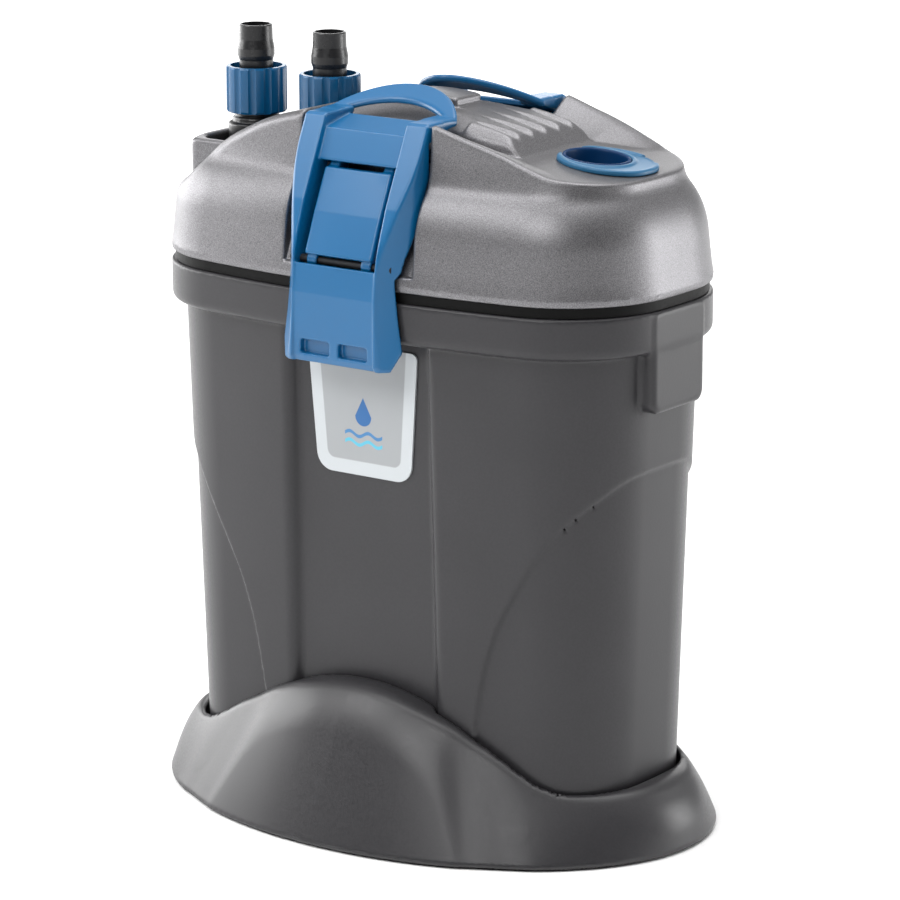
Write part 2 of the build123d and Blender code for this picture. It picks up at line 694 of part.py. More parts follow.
with BuildPart() as impeller_cover:
    with BuildSketch(Plane.XY.offset(216.4)):
        with Locations((PUMP_X, PUMP_Y)):
            Circle(25.0)
        with Locations(((CON_X[1] - 10 + PUMP_X) / 2, 0)):
            RectangleRounded(PUMP_X - CON_X[1] + 10, 19.0, 4.0)
    extrude(amount=Z_PLATE0 - 216.4)
    # volute chamber and the channel to the outlet
    with BuildSketch(Plane.XY.offset(221.7)):
        with Locations((PUMP_X, PUMP_Y)):
            Circle(18.5)
        with Locations(((CON_X[1] - 7 + PUMP_X) / 2, 0)):
            RectangleRounded(PUMP_X - CON_X[1] + 7, 13.0, 3.0)
    extrude(amount=20, mode=Mode.SUBTRACT)
    # eye of the pump round the lower bush, held by three webs
    with BuildSketch(Plane.XY.offset(215)):
        with Locations((PUMP_X, PUMP_Y)):
            Circle(9.5)
            Circle(5.6, mode=Mode.SUBTRACT)
            with PolarLocations(7.5, 3):
                Rectangle(6, 2.0, mode=Mode.SUBTRACT)
    extrude(amount=10, mode=Mode.SUBTRACT)
    with BuildSketch(Plane.XY.offset(218.5)):
        with Locations((PUMP_X, PUMP_Y)):
            Circle(4.0)
    extrude(amount=10, mode=Mode.SUBTRACT)
    # seal groove in the top face
    with BuildSketch(Plane.XY.offset(Z_PLATE0 - 1.6)):
        with Locations((PUMP_X, PUMP_Y)):
            Circle(23.4)
            Circle(21.2, mode=Mode.SUBTRACT)
    extrude(amount=2, mode=Mode.SUBTRACT)
impeller_cover.part.label = "impeller_cover"
export_step(impeller_cover.part, "parts/impeller_cover.step")

with BuildPart() as cover_seal:
    with BuildSketch(Plane.XY.offset(Z_PLATE0 - 1.6)):
        with Locations((PUMP_X, PUMP_Y)):
            Circle(23.4)
            Circle(21.2, mode=Mode.SUBTRACT)
    extrude(amount=1.6)
cover_seal.part.label = "cover_seal"
export_step(cover_seal.part, "parts/cover_seal.step")

# ----------------------------------------------------------------------------
# Hose connectors
# ----------------------------------------------------------------------------
for cname, cx, z_low in (("inlet_elbow", CON_X[0], 212.0), ("outlet_elbow", CON_X[1], Z_PLATE0)):
    with BuildPart() as elbow:
        with BuildSketch(Plane.XY.offset(z_low)):
            with Locations((cx, 0)):
                Circle(7.4)
        extrude(amount=292 - z_low)
        with BuildSketch(Plane.XZ):
            with BuildLine():
                Polyline((cx, 251.6), (cx + 10.2, 251.6), (cx + 10.2, 260), (cx + 11.4, 260.6), (cx + 11.4, 265.4),
                         (cx + 10.2, 266), (cx + 10.2, 270), (cx + 11.4, 270.6), (cx + 11.4, 275.4),
                         (cx + 10.2, 276), (cx + 10.2, 289.5), (cx + 9.6, 290.5), (cx + 9.6, 303), (cx, 303), close=True)
            make_face()
        revolve(axis=Axis((cx, 0, 0), (0, 0, 1)))
        with BuildSketch(Plane.XY.offset(z_low - 1)):
            with Locations((cx, 0)):
                Circle(5.5)
        extrude(amount=110, mode=Mode.SUBTRACT)
    elbow.part.label = cname
    export_step(elbow.part, "parts/" + cname + ".step")

with BuildPart() as connector_seals:
    for cx in CON_X:
        with BuildSketch(Plane.XY.offset(250.0)):
            with Locations((cx, 0)):
                Circle(9.6)
                Circle(7.4, mode=Mode.SUBTRACT)
        extrude(amount=1.6)
connector_seals.part.label = "connector_seals"
export_step(connector_seals.part, "parts/connector_seals.step")

for tname, cx in (("inlet_hose_tail", CON_X[0]), ("outlet_hose_tail", CON_X[1])):
    with BuildPart() as tail:
        with BuildSketch(Plane.XZ):
            with BuildLine():
                Polyline((cx + TAIL_BORE / 2, 303.0), (cx + 9.5, 303.0), (cx + 9.5, 306.2), (cx + 7.35, 306.8),
                         (cx + 7.35, 315.5), (cx + TAIL_BARB / 2, 317.6), (cx + TAIL_BARB / 2, 320.6),
                         (cx + 7.35, 324.5), (cx + 7.2, 330.5), (cx + 6.9, 331.0),
                         (cx + TAIL_BORE / 2, 331.0), close=True)
            make_face()
        revolve(axis=Axis((cx, 0, 0), (0, 0, 1)))
    tail.part.label = tname
    export_step(tail.part, "parts/" + tname + ".step")

for nname, cx in (("inlet_union_nut", CON_X[0]), ("outlet_union_nut", CON_X[1])):
    with BuildPart() as nut:
        with BuildSketch(Plane.XZ):
            with BuildLine():
                Polyline((cx + 9.9, 293.0), (cx + 12.9, 293.0), (cx + 13.3, 293.8), (cx + 13.3, 312.2),
                         (cx + 12.9, 313.0), (cx + 11.35, 313.0), (cx + 11.35, 308.6), (cx + 8.0, 308.6),
                         (cx + 8.0, 307.2), (cx + 9.9, 306.7), close=True)
            make_face()
        revolve(axis=Axis((cx, 0, 0), (0, 0, 1)))
        # shallow finger flutes
        with BuildSketch(Plane.XY.offset(292)):
            with Locations((cx, 0)):
                with PolarLocations(15.6, 12):
                    Circle(3.0)
        extrude(amount=22, mode=Mode.SUBTRACT)
    nut.part.label = nname
    export_step(nut.part, "parts/" + nname + ".step")

# ----------------------------------------------------------------------------
# Cable gland at the back of the head (no lead fitted) and the head screws
# ----------------------------------------------------------------------------
with BuildPart() as cable_gland:
    with BuildSketch(Plane.XZ.offset(-54.5)):
        with Locations((-72, 252)):
            Circle(5.0)
    extrude(amount=-14)
    with BuildSketch(Plane.XZ.offset(-63.6)):
        with Locations((-72, 252)):
            RegularPolygon(7.5, 6)
    extrude(amount=-5)
    with BuildSketch(Plane.XZ.offset(-50)):
        with Locations((-72, 252)):
            Circle(3.2)
    extrude(amount=-40, mode=Mode.SUBTRACT)
cable_gland.part.label = "cable_gland"
export_step(cable_gland.part, "parts/cable_gland.step")

with BuildPart() as head_screws:
    with BuildSketch(Plane.XY.offset(Z_PLATE0 - 2.4)):
        with Locations(*SCREWS):
            Circle(3.2)
    extrude(amount=2.4)
    with BuildSketch(Plane.XY.offset(Z_PLATE0)):
        with Locations(*SCREWS):
            Circle(1.5)
    extrude(amount=14)
    with BuildSketch(Plane.XY.offset(Z_PLATE0 - 2.5)):
        with Locations(*SCREWS):
            Rectangle(3.6, 0.8)
            Rectangle(0.8, 3.6)
    extrude(amount=1.3, mode=Mode.SUBTRACT)
head_screws.part.label = "head_screws"
export_step(head_screws.part, "parts/head_screws.step")

with BuildPart() as link_pins:
    for s in (-1, 1):
        with BuildSketch(Plane.YZ.offset(-36.0)):
            with Locations((s * -LATCH_A[0], LATCH_A[1])):
                Circle(PIN_R)
        extrude(amount=72.0)
link_pins.part.label = "link_pins"
export_step(link_pins.part, "parts/link_pins.step")

# ----------------------------------------------------------------------------
# Latches: draw link, frame with grip ring, frame pin
# ----------------------------------------------------------------------------
AY, AZ = LATCH_A
BY, BZ = LATCH_B

with BuildPart() as front_draw_link:
    # window plate
    with BuildSketch(Plane.YZ.offset(-17.4)):
        Polygon((-56.3, 284.6), (-70.9, 250.6), (-67.9, 249.4), (-53.2, 284.6), align=None)
    extrude(amount=34.8)
    # ears to the two pins
    for x0 in (-16.5, 11.5):
        with BuildSketch(Plane.YZ.offset(x0)):
            with Locations((AY, AZ)):
                Circle(2.9)
            with Locations((BY, BZ)):
                Circle(2.9)
            Polygon((-56.0, 284.2), (-53.6, 285.2), (-48.6, 292.6), (-44.4, 289.0), (-64.4, 246.2), (-69.0, 249.2), align=None)
        extrude(amount=5.0)
    for p in (LATCH_A, LATCH_B):
        with BuildSketch(Plane.YZ.offset(-20)):
            with Locations(p):
                Circle(PIN_R + RUN)
        extrude(amount=40, mode=Mode.SUBTRACT)
front_draw_link.part.label = "front_draw_link"
export_step(front_draw_link.part, "parts/front_draw_link.step")

ARM_IN, ARM_OUT = 21.0, 31.9
with BuildPart() as ring_slab:
    with BuildSketch(Plane.YZ.offset(-34)):
        Polygon((-40, 302.8), (-31.5, 302.8), (-13.2, 313.0), (-10, 314.8), (-10, 318.0), (-13.2, 316.2),
                (-31.5, 306.0), (-40, 306.0), align=None)
    extrude(amount=68)
with BuildPart() as ring_plan:
    with BuildSketch(Plane.XY.offset(295)):
        with BuildLine():
            ThreePointArc((33, -31.5), (0, -13.5), (-33, -31.5))
            Polyline((-33, -31.5), (-31.9, -38), (-21.0, -38), (-20.4, -28.0))
            ThreePointArc((-20.4, -28.0), (0, -23.4), (20.4, -28.0))
            Polyline((20.4, -28.0), (21.0, -38), (31.9, -38), (33, -31.5))
        make_face()
    extrude(amount=30)
ring_solid = ring_slab.part & ring_plan.part

with BuildPart() as facet_cut:
    # wedge that bevels the outer front corner of an arm
    with BuildSketch(Plane.XY.offset(203)):
        Polygon((21.6, -76), (33, -66.9), (33, -90), (21.6, -90), align=None)
    with BuildSketch(Plane.XY.offset(286)):
        Polygon((30.5, -60), (34, -52), (34, -90), (30.5, -90), align=None)
    loft(ruled=True)

with BuildPart() as front_latch_frame:
    for x0, x1 in ((ARM_IN, ARM_OUT), (-ARM_OUT, -ARM_IN)):
        with BuildSketch(Plane.YZ.offset(x0)):
            Polygon((-50.3, 305.0), (-57.7, 289), (-65.5, 272), (-70.5, 258), (-73.3, 248), (-74.9, 230),
                    (-74.7, 207.0), (-73.4, 205.0), (-70.4, 205), (-66.4, 213), (-66.4, 243), (-64.2, 246),
                    (-62.4, 252), (-53.4, 272), (-48.5, 284), (-48.5, 297.6), (-31.5, 303.0), (-31.5, 306), (-48.6, 305.8),
                    align=None)
        extrude(amount=x1 - x0)
    add(facet_cut.part, mode=Mode.SUBTRACT)
    add(mirror(facet_cut.part, about=Plane.YZ), mode=Mode.SUBTRACT)
    add(ring_solid)
    # upper cross piece with its top facet
    with BuildSketch(Plane.YZ.offset(-ARM_IN)):
        Polygon((-50.7, 300.6), (-56.0, 287.4), (-54.0, 286.9), (-48.4, 298.2), (-34.0, 301.6), (-34.0, 304.2),
                align=None)
    extrude(amount=2 * ARM_IN)
    # lower cross piece with the hook nib
    with BuildSketch(Plane.YZ.offset(-ARM_IN)):
        Polygon((-73.3, 247.2), (-74.3, 236), (-74.6, 207.0), (-73.4, 205.0), (-68.5, 205), (-66.4, 208.5), (-66.4, 212.5), (-69.8, 215.5),
                (-70.2, 244.0), (-70.8, 246.0), align=None)
    extrude(amount=2 * ARM_IN)
    # two pockets in the front of the lower cross piece
    with BuildSketch(Plane.XZ.offset(70.6)):
        with Locations((-9.8, 211.6), (9.8, 211.6)):
            RectangleRounded(15.0, 6.0, 1.2)
    extrude(amount=10, mode=Mode.SUBTRACT)
    # pin bores in the arms
    with BuildSketch(Plane.YZ.offset(-26)):
        with Locations((BY, BZ)):
            Circle(PIN_R)
    extrude(amount=52, mode=Mode.SUBTRACT)
front_latch_frame.part.label = "front_latch_frame"
export_step(front_latch_frame.part, "parts/front_latch_frame.step")

with BuildPart() as front_frame_pin:
    with BuildSketch(Plane.YZ.offset(-26)):
        with Locations((BY, BZ)):
            Circle(PIN_R)
    extrude(amount=52)
front_frame_pin.part.label = "front_frame_pin"
export_step(front_frame_pin.part, "parts/front_frame_pin.step")

# the rear latch is the front one mirrored
for rname, src in (("rear_draw_link", front_draw_link), ("rear_latch_frame", front_latch_frame),
                   ("rear_frame_pin", front_frame_pin)):
    with BuildPart() as rear:
        add(mirror(src.part, about=Plane.XZ))
    rear.part.label = rname
    export_step(rear.part, "parts/" + rname + ".step")
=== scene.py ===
import json
import math

import bmesh
import bpy
import numpy as np
from mathutils import Matrix, Vector


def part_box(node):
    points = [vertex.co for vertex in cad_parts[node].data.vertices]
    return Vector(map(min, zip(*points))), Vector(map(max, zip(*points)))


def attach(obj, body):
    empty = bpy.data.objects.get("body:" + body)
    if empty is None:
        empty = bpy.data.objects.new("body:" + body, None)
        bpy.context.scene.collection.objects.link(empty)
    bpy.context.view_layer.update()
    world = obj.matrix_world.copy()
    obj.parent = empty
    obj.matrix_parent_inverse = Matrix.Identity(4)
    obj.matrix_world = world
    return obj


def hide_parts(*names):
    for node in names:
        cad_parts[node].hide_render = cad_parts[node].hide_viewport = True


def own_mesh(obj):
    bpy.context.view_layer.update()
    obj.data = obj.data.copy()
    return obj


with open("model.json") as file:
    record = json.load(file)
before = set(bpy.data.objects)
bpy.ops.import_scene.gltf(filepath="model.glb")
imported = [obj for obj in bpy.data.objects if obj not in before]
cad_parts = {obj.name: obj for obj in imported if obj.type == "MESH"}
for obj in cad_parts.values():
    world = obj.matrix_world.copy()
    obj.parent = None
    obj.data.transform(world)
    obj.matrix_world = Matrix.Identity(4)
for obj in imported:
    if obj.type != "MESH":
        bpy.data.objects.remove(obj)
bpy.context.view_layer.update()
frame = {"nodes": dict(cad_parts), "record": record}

NODES = frame["nodes"]
scene = bpy.context.scene

# ----------------------------------------------------------------------------
# Camera at the reference viewing angle
# ----------------------------------------------------------------------------
AZ, EL, DIST = math.radians(36.0), math.radians(13.983), 1.826672
back = Vector((math.sin(AZ) * math.cos(EL), -math.cos(AZ) * math.cos(EL), math.sin(EL)))
right = Vector((math.cos(AZ), math.sin(AZ), 0.0))
up = back.cross(right)
target = Vector((0, 0, 0.1425)) + right * 0.005114 + up * 0.011465
cam_data = bpy.data.cameras.new("camera")
cam_data.sensor_width = 36.0
cam_data.lens = 169.24
cam_data.clip_start = 0.05
cam_data.clip_end = 50.0
camera = bpy.data.objects.new("camera", cam_data)
scene.collection.objects.link(camera)
rot = Matrix((right, up, back)).transposed()
camera.matrix_world = Matrix.Translation(target + back * DIST) @ rot.to_4x4() @ Matrix.Rotation(math.radians(-0.09), 4, "Z")
scene.camera = camera
scene.view_settings.view_transform = "Standard"

# ----------------------------------------------------------------------------
# Driving sizes, millimetres, the same as the CAD part's
# ----------------------------------------------------------------------------
OUT_A, OUT_B = 123.5, 65.8
R_END, R_COR, R_SIDE = 400.0, 49.87, 533.83
Z_POT, Z_C0, Z_C1, Z_HEAD = 10.0, 215.5, 233.2, 237.8
CON_X = (-97.5, -57.2)
PRIME_X, PRIME_R = 81.5, 14.4
TAN_S = math.tan(math.radians(6.5))


def arc_centres():
    c1 = (OUT_A - R_END, 0.0)
    c3 = (0.0, OUT_B - R_SIDE)
    d1, d3 = R_END - R_COR, R_SIDE - R_COR
    dx, dy = c3[0] - c1[0], c3[1] - c1[1]
    ll = math.hypot(dx, dy)
    p = (d1 * d1 - d3 * d3 + ll * ll) / (2 * ll)
    h = math.sqrt(max(d1 * d1 - p * p, 0.0))
    best = None
    for s in (1, -1):
        x = c1[0] + dx * p / ll - s * dy / ll * h
        y = c1[1] + dy * p / ll + s * dx / ll * h
        if best is None or y > best[1]:
            best = (x, y)
    cx, cy = best
    l1 = math.hypot(cx - c1[0], cy - c1[1])
    l3 = math.hypot(cx - c3[0], cy - c3[1])
    n1 = ((cx - c1[0]) / l1, (cy - c1[1]) / l1)
    n3 = ((cx - c3[0]) / l3, (cy - c3[1]) / l3)
    return c1, c3, (cx, cy), n1, n3


C1, C3, CC, N1, N3 = arc_centres()


def smax(a, b, k):
    h = np.maximum(k - np.abs(a - b), 0.0) / k
    return np.maximum(a, b) + h * h * (k * 0.25)


def smin(a, b, k):
    return -smax(-a, -b, k)


def oval_d(x, y):
    """Signed distance to the eight-arc outline, positive outside."""
    ax, ay = np.abs(x), np.abs(y)
    de = np.hypot(ax - C1[0], ay - C1[1]) - R_END
    ds = np.hypot(ax - C3[0], ay - C3[1]) - R_SIDE
    vx, vy = ax - CC[0], ay - CC[1]
    dc = np.hypot(vx, vy) - R_COR
    in_cone = ((N1[0] * vy - N1[1] * vx) > 0) & ((N3[0] * vy - N3[1] * vx) < 0)
    return np.where(in_cone, dc, np.maximum(de, ds))


def spline(points):
    """Monotone-ish cubic through the points, as a fast table lookup."""
    px = np.array([p[0] for p in points], float)
    py = np.array([p[1] for p in points], float)
    m = np.gradient(py, px)
    q = np.linspace(px[0], px[-1], 1200)
    i = np.clip(np.searchsorted(px, q) - 1, 0, len(px) - 2)
    hh = px[i + 1] - px[i]
    t = (q - px[i]) / hh
    v = ((2 * t**3 - 3 * t**2 + 1) * py[i] + (t**3 - 2 * t**2 + t) * hh * m[i]
         + (-2 * t**3 + 3 * t**2) * py[i + 1] + (t**3 - t**2) * hh * m[i + 1])
    return lambda s: np.interp(s, q, v)


def poly_sd(u, v, pts):
    """Signed distance to a closed polygon, negative inside."""
    d = np.full(u.shape, 1e9, np.float64)
    inside = np.zeros(u.shape, bool)
    n = len(pts)
    for i in range(n):
        ax, ay = pts[i]
        bx, by = pts[(i + 1) % n]
        ex, ey = bx - ax, by - ay
        wx, wy = u - ax, v - ay
        t = np.clip((wx * ex + wy * ey) / (ex * ex + ey * ey + 1e-12), 0, 1)
        d = np.minimum(d, (wx - ex * t) ** 2 + (wy - ey * t) ** 2)
        c = (ay > v) != (by > v)
        if by != ay:
            inside ^= c & (u < ex * (v - ay) / (by - ay) + ax)
    d = np.sqrt(d)
    return np.where(inside, -d, d)


def rbox(u, v, cu, cv, hu, hv, r):
    qx, qy = np.abs(u - cu) - hu + r, np.abs(v - cv) - hv + r
    return np.hypot(np.maximum(qx, 0), np.maximum(qy, 0)) + np.minimum(np.maximum(qx, qy), 0) - r


# ----------------------------------------------------------------------------
# Surface nets: a quad mesh from a signed distance, pulled onto the surface
# ----------------------------------------------------------------------------
def nets(f, lo, hi, h, steps=4):
    lo = np.asarray(lo, float)
    hi = np.asarray(hi, float)
    n = np.ceil((hi - lo) / h).astype(int) + 1
    # only blocks of cells near the surface are sampled, the rest get their sign
    B = 8
    nb = -(-n // B)
    full = nb * B
    cx = [lo[i] + h * (B * np.arange(nb[i]) + (B - 1) / 2) for i in range(3)]
    X, Y, Z = np.meshgrid(*cx, indexing="ij")
    fc = f(X, Y, Z)
    near = np.abs(fc) < B * h * 0.5 * 1.7321 * 1.35
    F5 = np.empty((nb[0], nb[1], nb[2], B, B, B), np.float32)
    F5[...] = np.where(fc < 0, -1e3, 1e3)[..., None, None, None]
    hot = np.argwhere(near)
    off = h * np.arange(B)
    for s in range(0, len(hot), 500):
        q = hot[s:s + 500]
        bx = lo + h * B * q
        X = bx[:, 0, None, None, None] + off[None, :, None, None] + np.zeros((1, B, B, B))
        Y = bx[:, 1, None, None, None] + off[None, None, :, None] + np.zeros((1, B, B, B))
        Z = bx[:, 2, None, None, None] + off[None, None, None, :] + np.zeros((1, B, B, B))
        F5[q[:, 0], q[:, 1], q[:, 2]] = f(X, Y, Z)
    F = F5.transpose(0, 3, 1, 4, 2, 5).reshape(tuple(full))[:n[0], :n[1], :n[2]].astype(np.float64)
    ins = F < 0
    c = np.zeros(tuple(n - 1), np.uint8)
    offs = [(a, b, d) for a in (0, 1) for b in (0, 1) for d in (0, 1)]
    for a, b, d in offs:
        c += ins[a:n[0] - 1 + a, b:n[1] - 1 + b, d:n[2] - 1 + d]
    act = (c > 0) & (c < 8)
    cells = np.argwhere(act)
    idx = np.full(act.shape, -1, np.int64)
    idx[act] = np.arange(len(cells))
    P = np.zeros((len(cells), 3))
    W = np.zeros(len(cells))
    for a in offs:
        for axis in range(3):
            if a[axis] == 1:
                continue
            b = list(a)
            b[axis] = 1
            fa = F[cells[:, 0] + a[0], cells[:, 1] + a[1], cells[:, 2] + a[2]]
            fb = F[cells[:, 0] + b[0], cells[:, 1] + b[1], cells[:, 2] + b[2]]
            m = (fa < 0) != (fb < 0)
            t = fa[m] / (fa[m] - fb[m])
            P[m] += np.array(a) + t[:, None] * (np.array(b) - np.array(a))
            W[m] += 1
    base = lo + h * cells
    P = base + h * P / W[:, None]
    e = 0.06 * h
    best, least = P.copy(), np.full(len(P), np.inf)
    for _ in range(steps):
        v = f(P[:, 0], P[:, 1], P[:, 2])
        m = np.abs(v) < least
        best[m] = P[m]
        least[m] = np.abs(v[m])
        g = np.stack([
            f(P[:, 0] + e, P[:, 1], P[:, 2]) - f(P[:, 0] - e, P[:, 1], P[:, 2]),
            f(P[:, 0], P[:, 1] + e, P[:, 2]) - f(P[:, 0], P[:, 1] - e, P[:, 2]),
            f(P[:, 0], P[:, 1], P[:, 2] + e) - f(P[:, 0], P[:, 1], P[:, 2] - e)], 1) / (2 * e)
        g2 = np.maximum((g * g).sum(1), 0.05)
        st = -(v / g2)[:, None] * g
        ln = np.linalg.norm(st, axis=1, keepdims=True)
        st *= np.minimum(1.0, 0.5 * h / np.maximum(ln, 1e-9))
        P = np.clip(P + st, base - 0.15 * h, base + 1.15 * h)
    m = np.abs(f(P[:, 0], P[:, 1], P[:, 2])) < least
    best[m] = P[m]
    P = best
    quads = []
    for axis in range(3):
        s0 = [slice(None)] * 3
        s1 = [slice(None)] * 3
        s0[axis] = slice(0, -1)
        s1[axis] = slice(1, None)
        ch = ins[tuple(s0)] != ins[tuple(s1)]
        E = np.argwhere(ch)
        o1, o2 = [q for q in range(3) if q != axis]
        lim = np.array(act.shape)
        ok = (E[:, o1] > 0) & (E[:, o1] < lim[o1]) & (E[:, o2] > 0) & (E[:, o2] < lim[o2])
        E = E[ok]
        first = ins[tuple(E.T)]
        u, w = (1, 2) if axis == 0 else ((2, 0) if axis == 1 else (0, 1))
        q = []
        for du, dw in ((-1, -1), (0, -1), (0, 0), (-1, 0)):
            T = E.copy()
            T[:, u] += du
            T[:, w] += dw
            q.append(idx[tuple(T.T)])
        q = np.stack(q, 1)
        q[~first] = q[~first][:, ::-1]
        quads.append(q)
    Q = np.concatenate(quads)
    return P, Q


def mesh_object(name, P, Q, smooth=True):
    me = bpy.data.meshes.new(name)
    P = np.asarray(P, np.float32) / 1000.0
    Q = np.asarray(Q, np.int32)
    k = Q.shape[1]
    me.vertices.add(len(P))
    me.vertices.foreach_set("co", P.ravel())
    me.loops.add(len(Q) * k)
    me.loops.foreach_set("vertex_index", Q.ravel())
    me.polygons.add(len(Q))
    me.polygons.foreach_set("loop_start", np.arange(0, len(Q) * k, k, dtype=np.int32))
    me.update(calc_edges=True)
    me.validate()
    if smooth:
        me.polygons.foreach_set("use_smooth", np.ones(len(Q), bool))
    me.update()
    o = bpy.data.objects.new(name, me)
    scene.collection.objects.link(o)
    return o


# ----------------------------------------------------------------------------
# Canister
# ----------------------------------------------------------------------------
ARC = spline([(50, 20), (53.5, 36), (56.5, 55), (60.3, 75), (65.8, 93), (75.5, 112.5), (84, 127), (94.9, 142.5),
              (107.6, 156), (113, 162), (118, 166), (130, 168)])


def inset_of(z):
    return 6.2 + (Z_C0 - z) * 0.0297


def channel(x, y, z, grow, k=1.6):
    """Front and back channels of the canister, negative in the channel."""
    ax, ay = np.abs(x), np.abs(y)
    yf = 53.0 - (Z_C0 - z) * 0.019 - grow
    xi = 34.6 + (Z_C0 - z) * 0.009 + grow
    xo = 36.2 + (Z_C0 - z) * 0.017 + grow
    s = (xo - xi) / 7.0
    side = (ax - xi - (ay - yf) * s) / np.sqrt(1 + s * s)
    return smax(yf - ay, side, k)


def canister_f(x, y, z):
    ax = np.abs(x)
    d = oval_d(x, y)
    ins = inset_of(z)
    g = (ARC(ax) - z) * 0.75
    t = np.clip(g / 1.3 + 0.5, 0, 1)
    step = 1.4 * t * t * (3 - 2 * t) * np.clip((ax - 48) / 6.0, 0, 1)
    body = d + ins + step
    body = smax(body, z - (Z_C0 + 3.0), 1.0)
    body = smax(body, Z_POT - z, 3.0)
    body = smax(body, -channel(x, y, z, 0.0), 4.5)
    collar = smax(smax(d, Z_C0 - z, 4.2), z - Z_C1, 1.0)
    tab = smax(rbox(y, z, 0.0, 212.0, 19.0, 22.0, 5.0), ax - 123.25, 2.4)
    tab = np.maximum(tab, 106.0 - ax)
    tab = np.maximum(tab, z - 232.0)
    f = smin(body, collar, 1.6)
    f = smin(f, tab, 1.0)
    return f


def canister_cavity_f(x, y, z):
    """The room inside the 3 mm wall, open at the top."""
    ax = np.abs(x)
    g = (ARC(ax) - z) * 0.75
    t = np.clip(g / 1.3 + 0.5, 0, 1)
    step = 1.4 * t * t * (3 - 2 * t) * np.clip((ax - 48) / 6.0, 0, 1)
    cav = smax(oval_d(x, y) + inset_of(z) + step + 3.0, Z_POT + 3.0 - z, 3.0)
    return smax(cav, -channel(x, y, z, 3.0), 3.0)


# ----------------------------------------------------------------------------
# Foot
# ----------------------------------------------------------------------------
ZC = spline([(0, 55), (18, 53.5), (34, 49), (47, 42.5), (58, 35), (70, 29.5), (86, 24.5), (99, 21), (112, 18), (122, 16.4), (135, 15.6)])
ZR = spline([(0, 64.5), (10, 64), (28, 60.5), (38, 57), (50, 52), (57, 48), (67, 43), (80, 35.8), (92, 30.8), (107, 28.3), (119, 28.3), (130, 28.3)])


def foot_outer(x, y, z):
    ax, ay = np.abs(x), np.abs(y)
    r = np.maximum(np.hypot(ax, ay), 1e-3)
    c, s = ax / r, ay / r
    rb = 1.0 / np.sqrt((c / 132.5) ** 2 + (s / 93.3) ** 2)
    rc = ((c / 129.5) ** 2.2 + (s / 70.0) ** 2.2) ** (-1 / 2.2)
    rr = ((c / 119.5) ** 2.4 + (s / 61.0) ** 2.4) ** (-1 / 2.4)
    zc = ZC(rc * c)
    zr = ZR(rr * c)
    f1 = (r - (rb + (rc - rb) * z / zc)) / np.sqrt(1 + ((rb - rc) / zc) ** 2)
    dr, dz = rc - rr, zr - zc
    f2 = ((r - rc) * dz + (z - zc) * dr) / np.hypot(dr, dz)
    top = ZR(np.minimum(ax, 130.0))
    f3 = z - top
    f = smax(f1, f2, 3.6)
    return smax(f, f3, 3.2)


def foot_f(x, y, z):
    out = foot_outer(x, y, z)
    d = oval_d(x, y)
    ins = inset_of(z)
    well = np.maximum(d + ins - 0.5, Z_POT - z)
    well = smax(well, -channel(x, y, z, -0.5), 3.5)
    f = smax(out, -well, 1.0)
    f = smax(f, 0.8 - z, 1.8)
    wall = np.maximum(d + ins - 3.5, 7.0 - z)
    wall = np.maximum(wall, -channel(x, y, z, -3.5))
    void = np.maximum(out + 3.0, -wall)
    f = smax(f, -void, 0.8)
    pil = smax(np.hypot(np.abs(x) - 82.0, np.abs(y) - 56.0) - 7.5, np.maximum(0.8 - z, z - 15.0), 1.0)
    pil = np.maximum(pil, out + 1.0)
    return smin(f, pil, 1.5)


# ----------------------------------------------------------------------------
# Head shell
# ----------------------------------------------------------------------------
RIDGE = spline([(-130, 262), (-118, 264), (-108, 267.5), (-99, 272.5), (-91.7, 279.0), (-83.3, 285.8), (-75.6, 290.8),
                (-67.4, 294.8), (-57.6, 299.2), (-48, 302.4), (-38, 305.0), (-24, 308.6), (-12, 310.5), (0, 311.2), (12, 310.5),
                (24, 308.6), (36.5, 305.0), (46.6, 302.0), (57.6, 299.0), (67, 296.0), (78, 292.0), (84, 290.0), (90, 288.6),
                (97, 287.5), (104, 286.7), (118, 285.1), (132, 283.5)])


def oval_y(x):
    """Half width of the outline at x."""
    ax = np.abs(x)
    ys = C3[1] + np.sqrt(np.maximum(R_SIDE**2 - ax**2, 0))
    yc = CC[1] + np.sqrt(np.maximum(R_COR**2 - (ax - CC[0]) ** 2, 0))
    xt3 = CC[0] + N3[0] * R_COR
    return np.where(ax < xt3, ys, yc)


def shelf(x):
    return 288.3 - TAN_S * (x - 88.0)


NOTCH = [(90, 244.5), (62.2, 244.5), (60, 250), (46, 276), (42.5, 284), (42.5, 294), (30, 298.5), (14, 306), (9, 306),
         (9, 345), (90, 345)]
GROOVES = [(-20.5, -10.2, -0.2, 9.8, 19.8), (-19.6, -10.0, -0.4, 9.2, 18.8)]


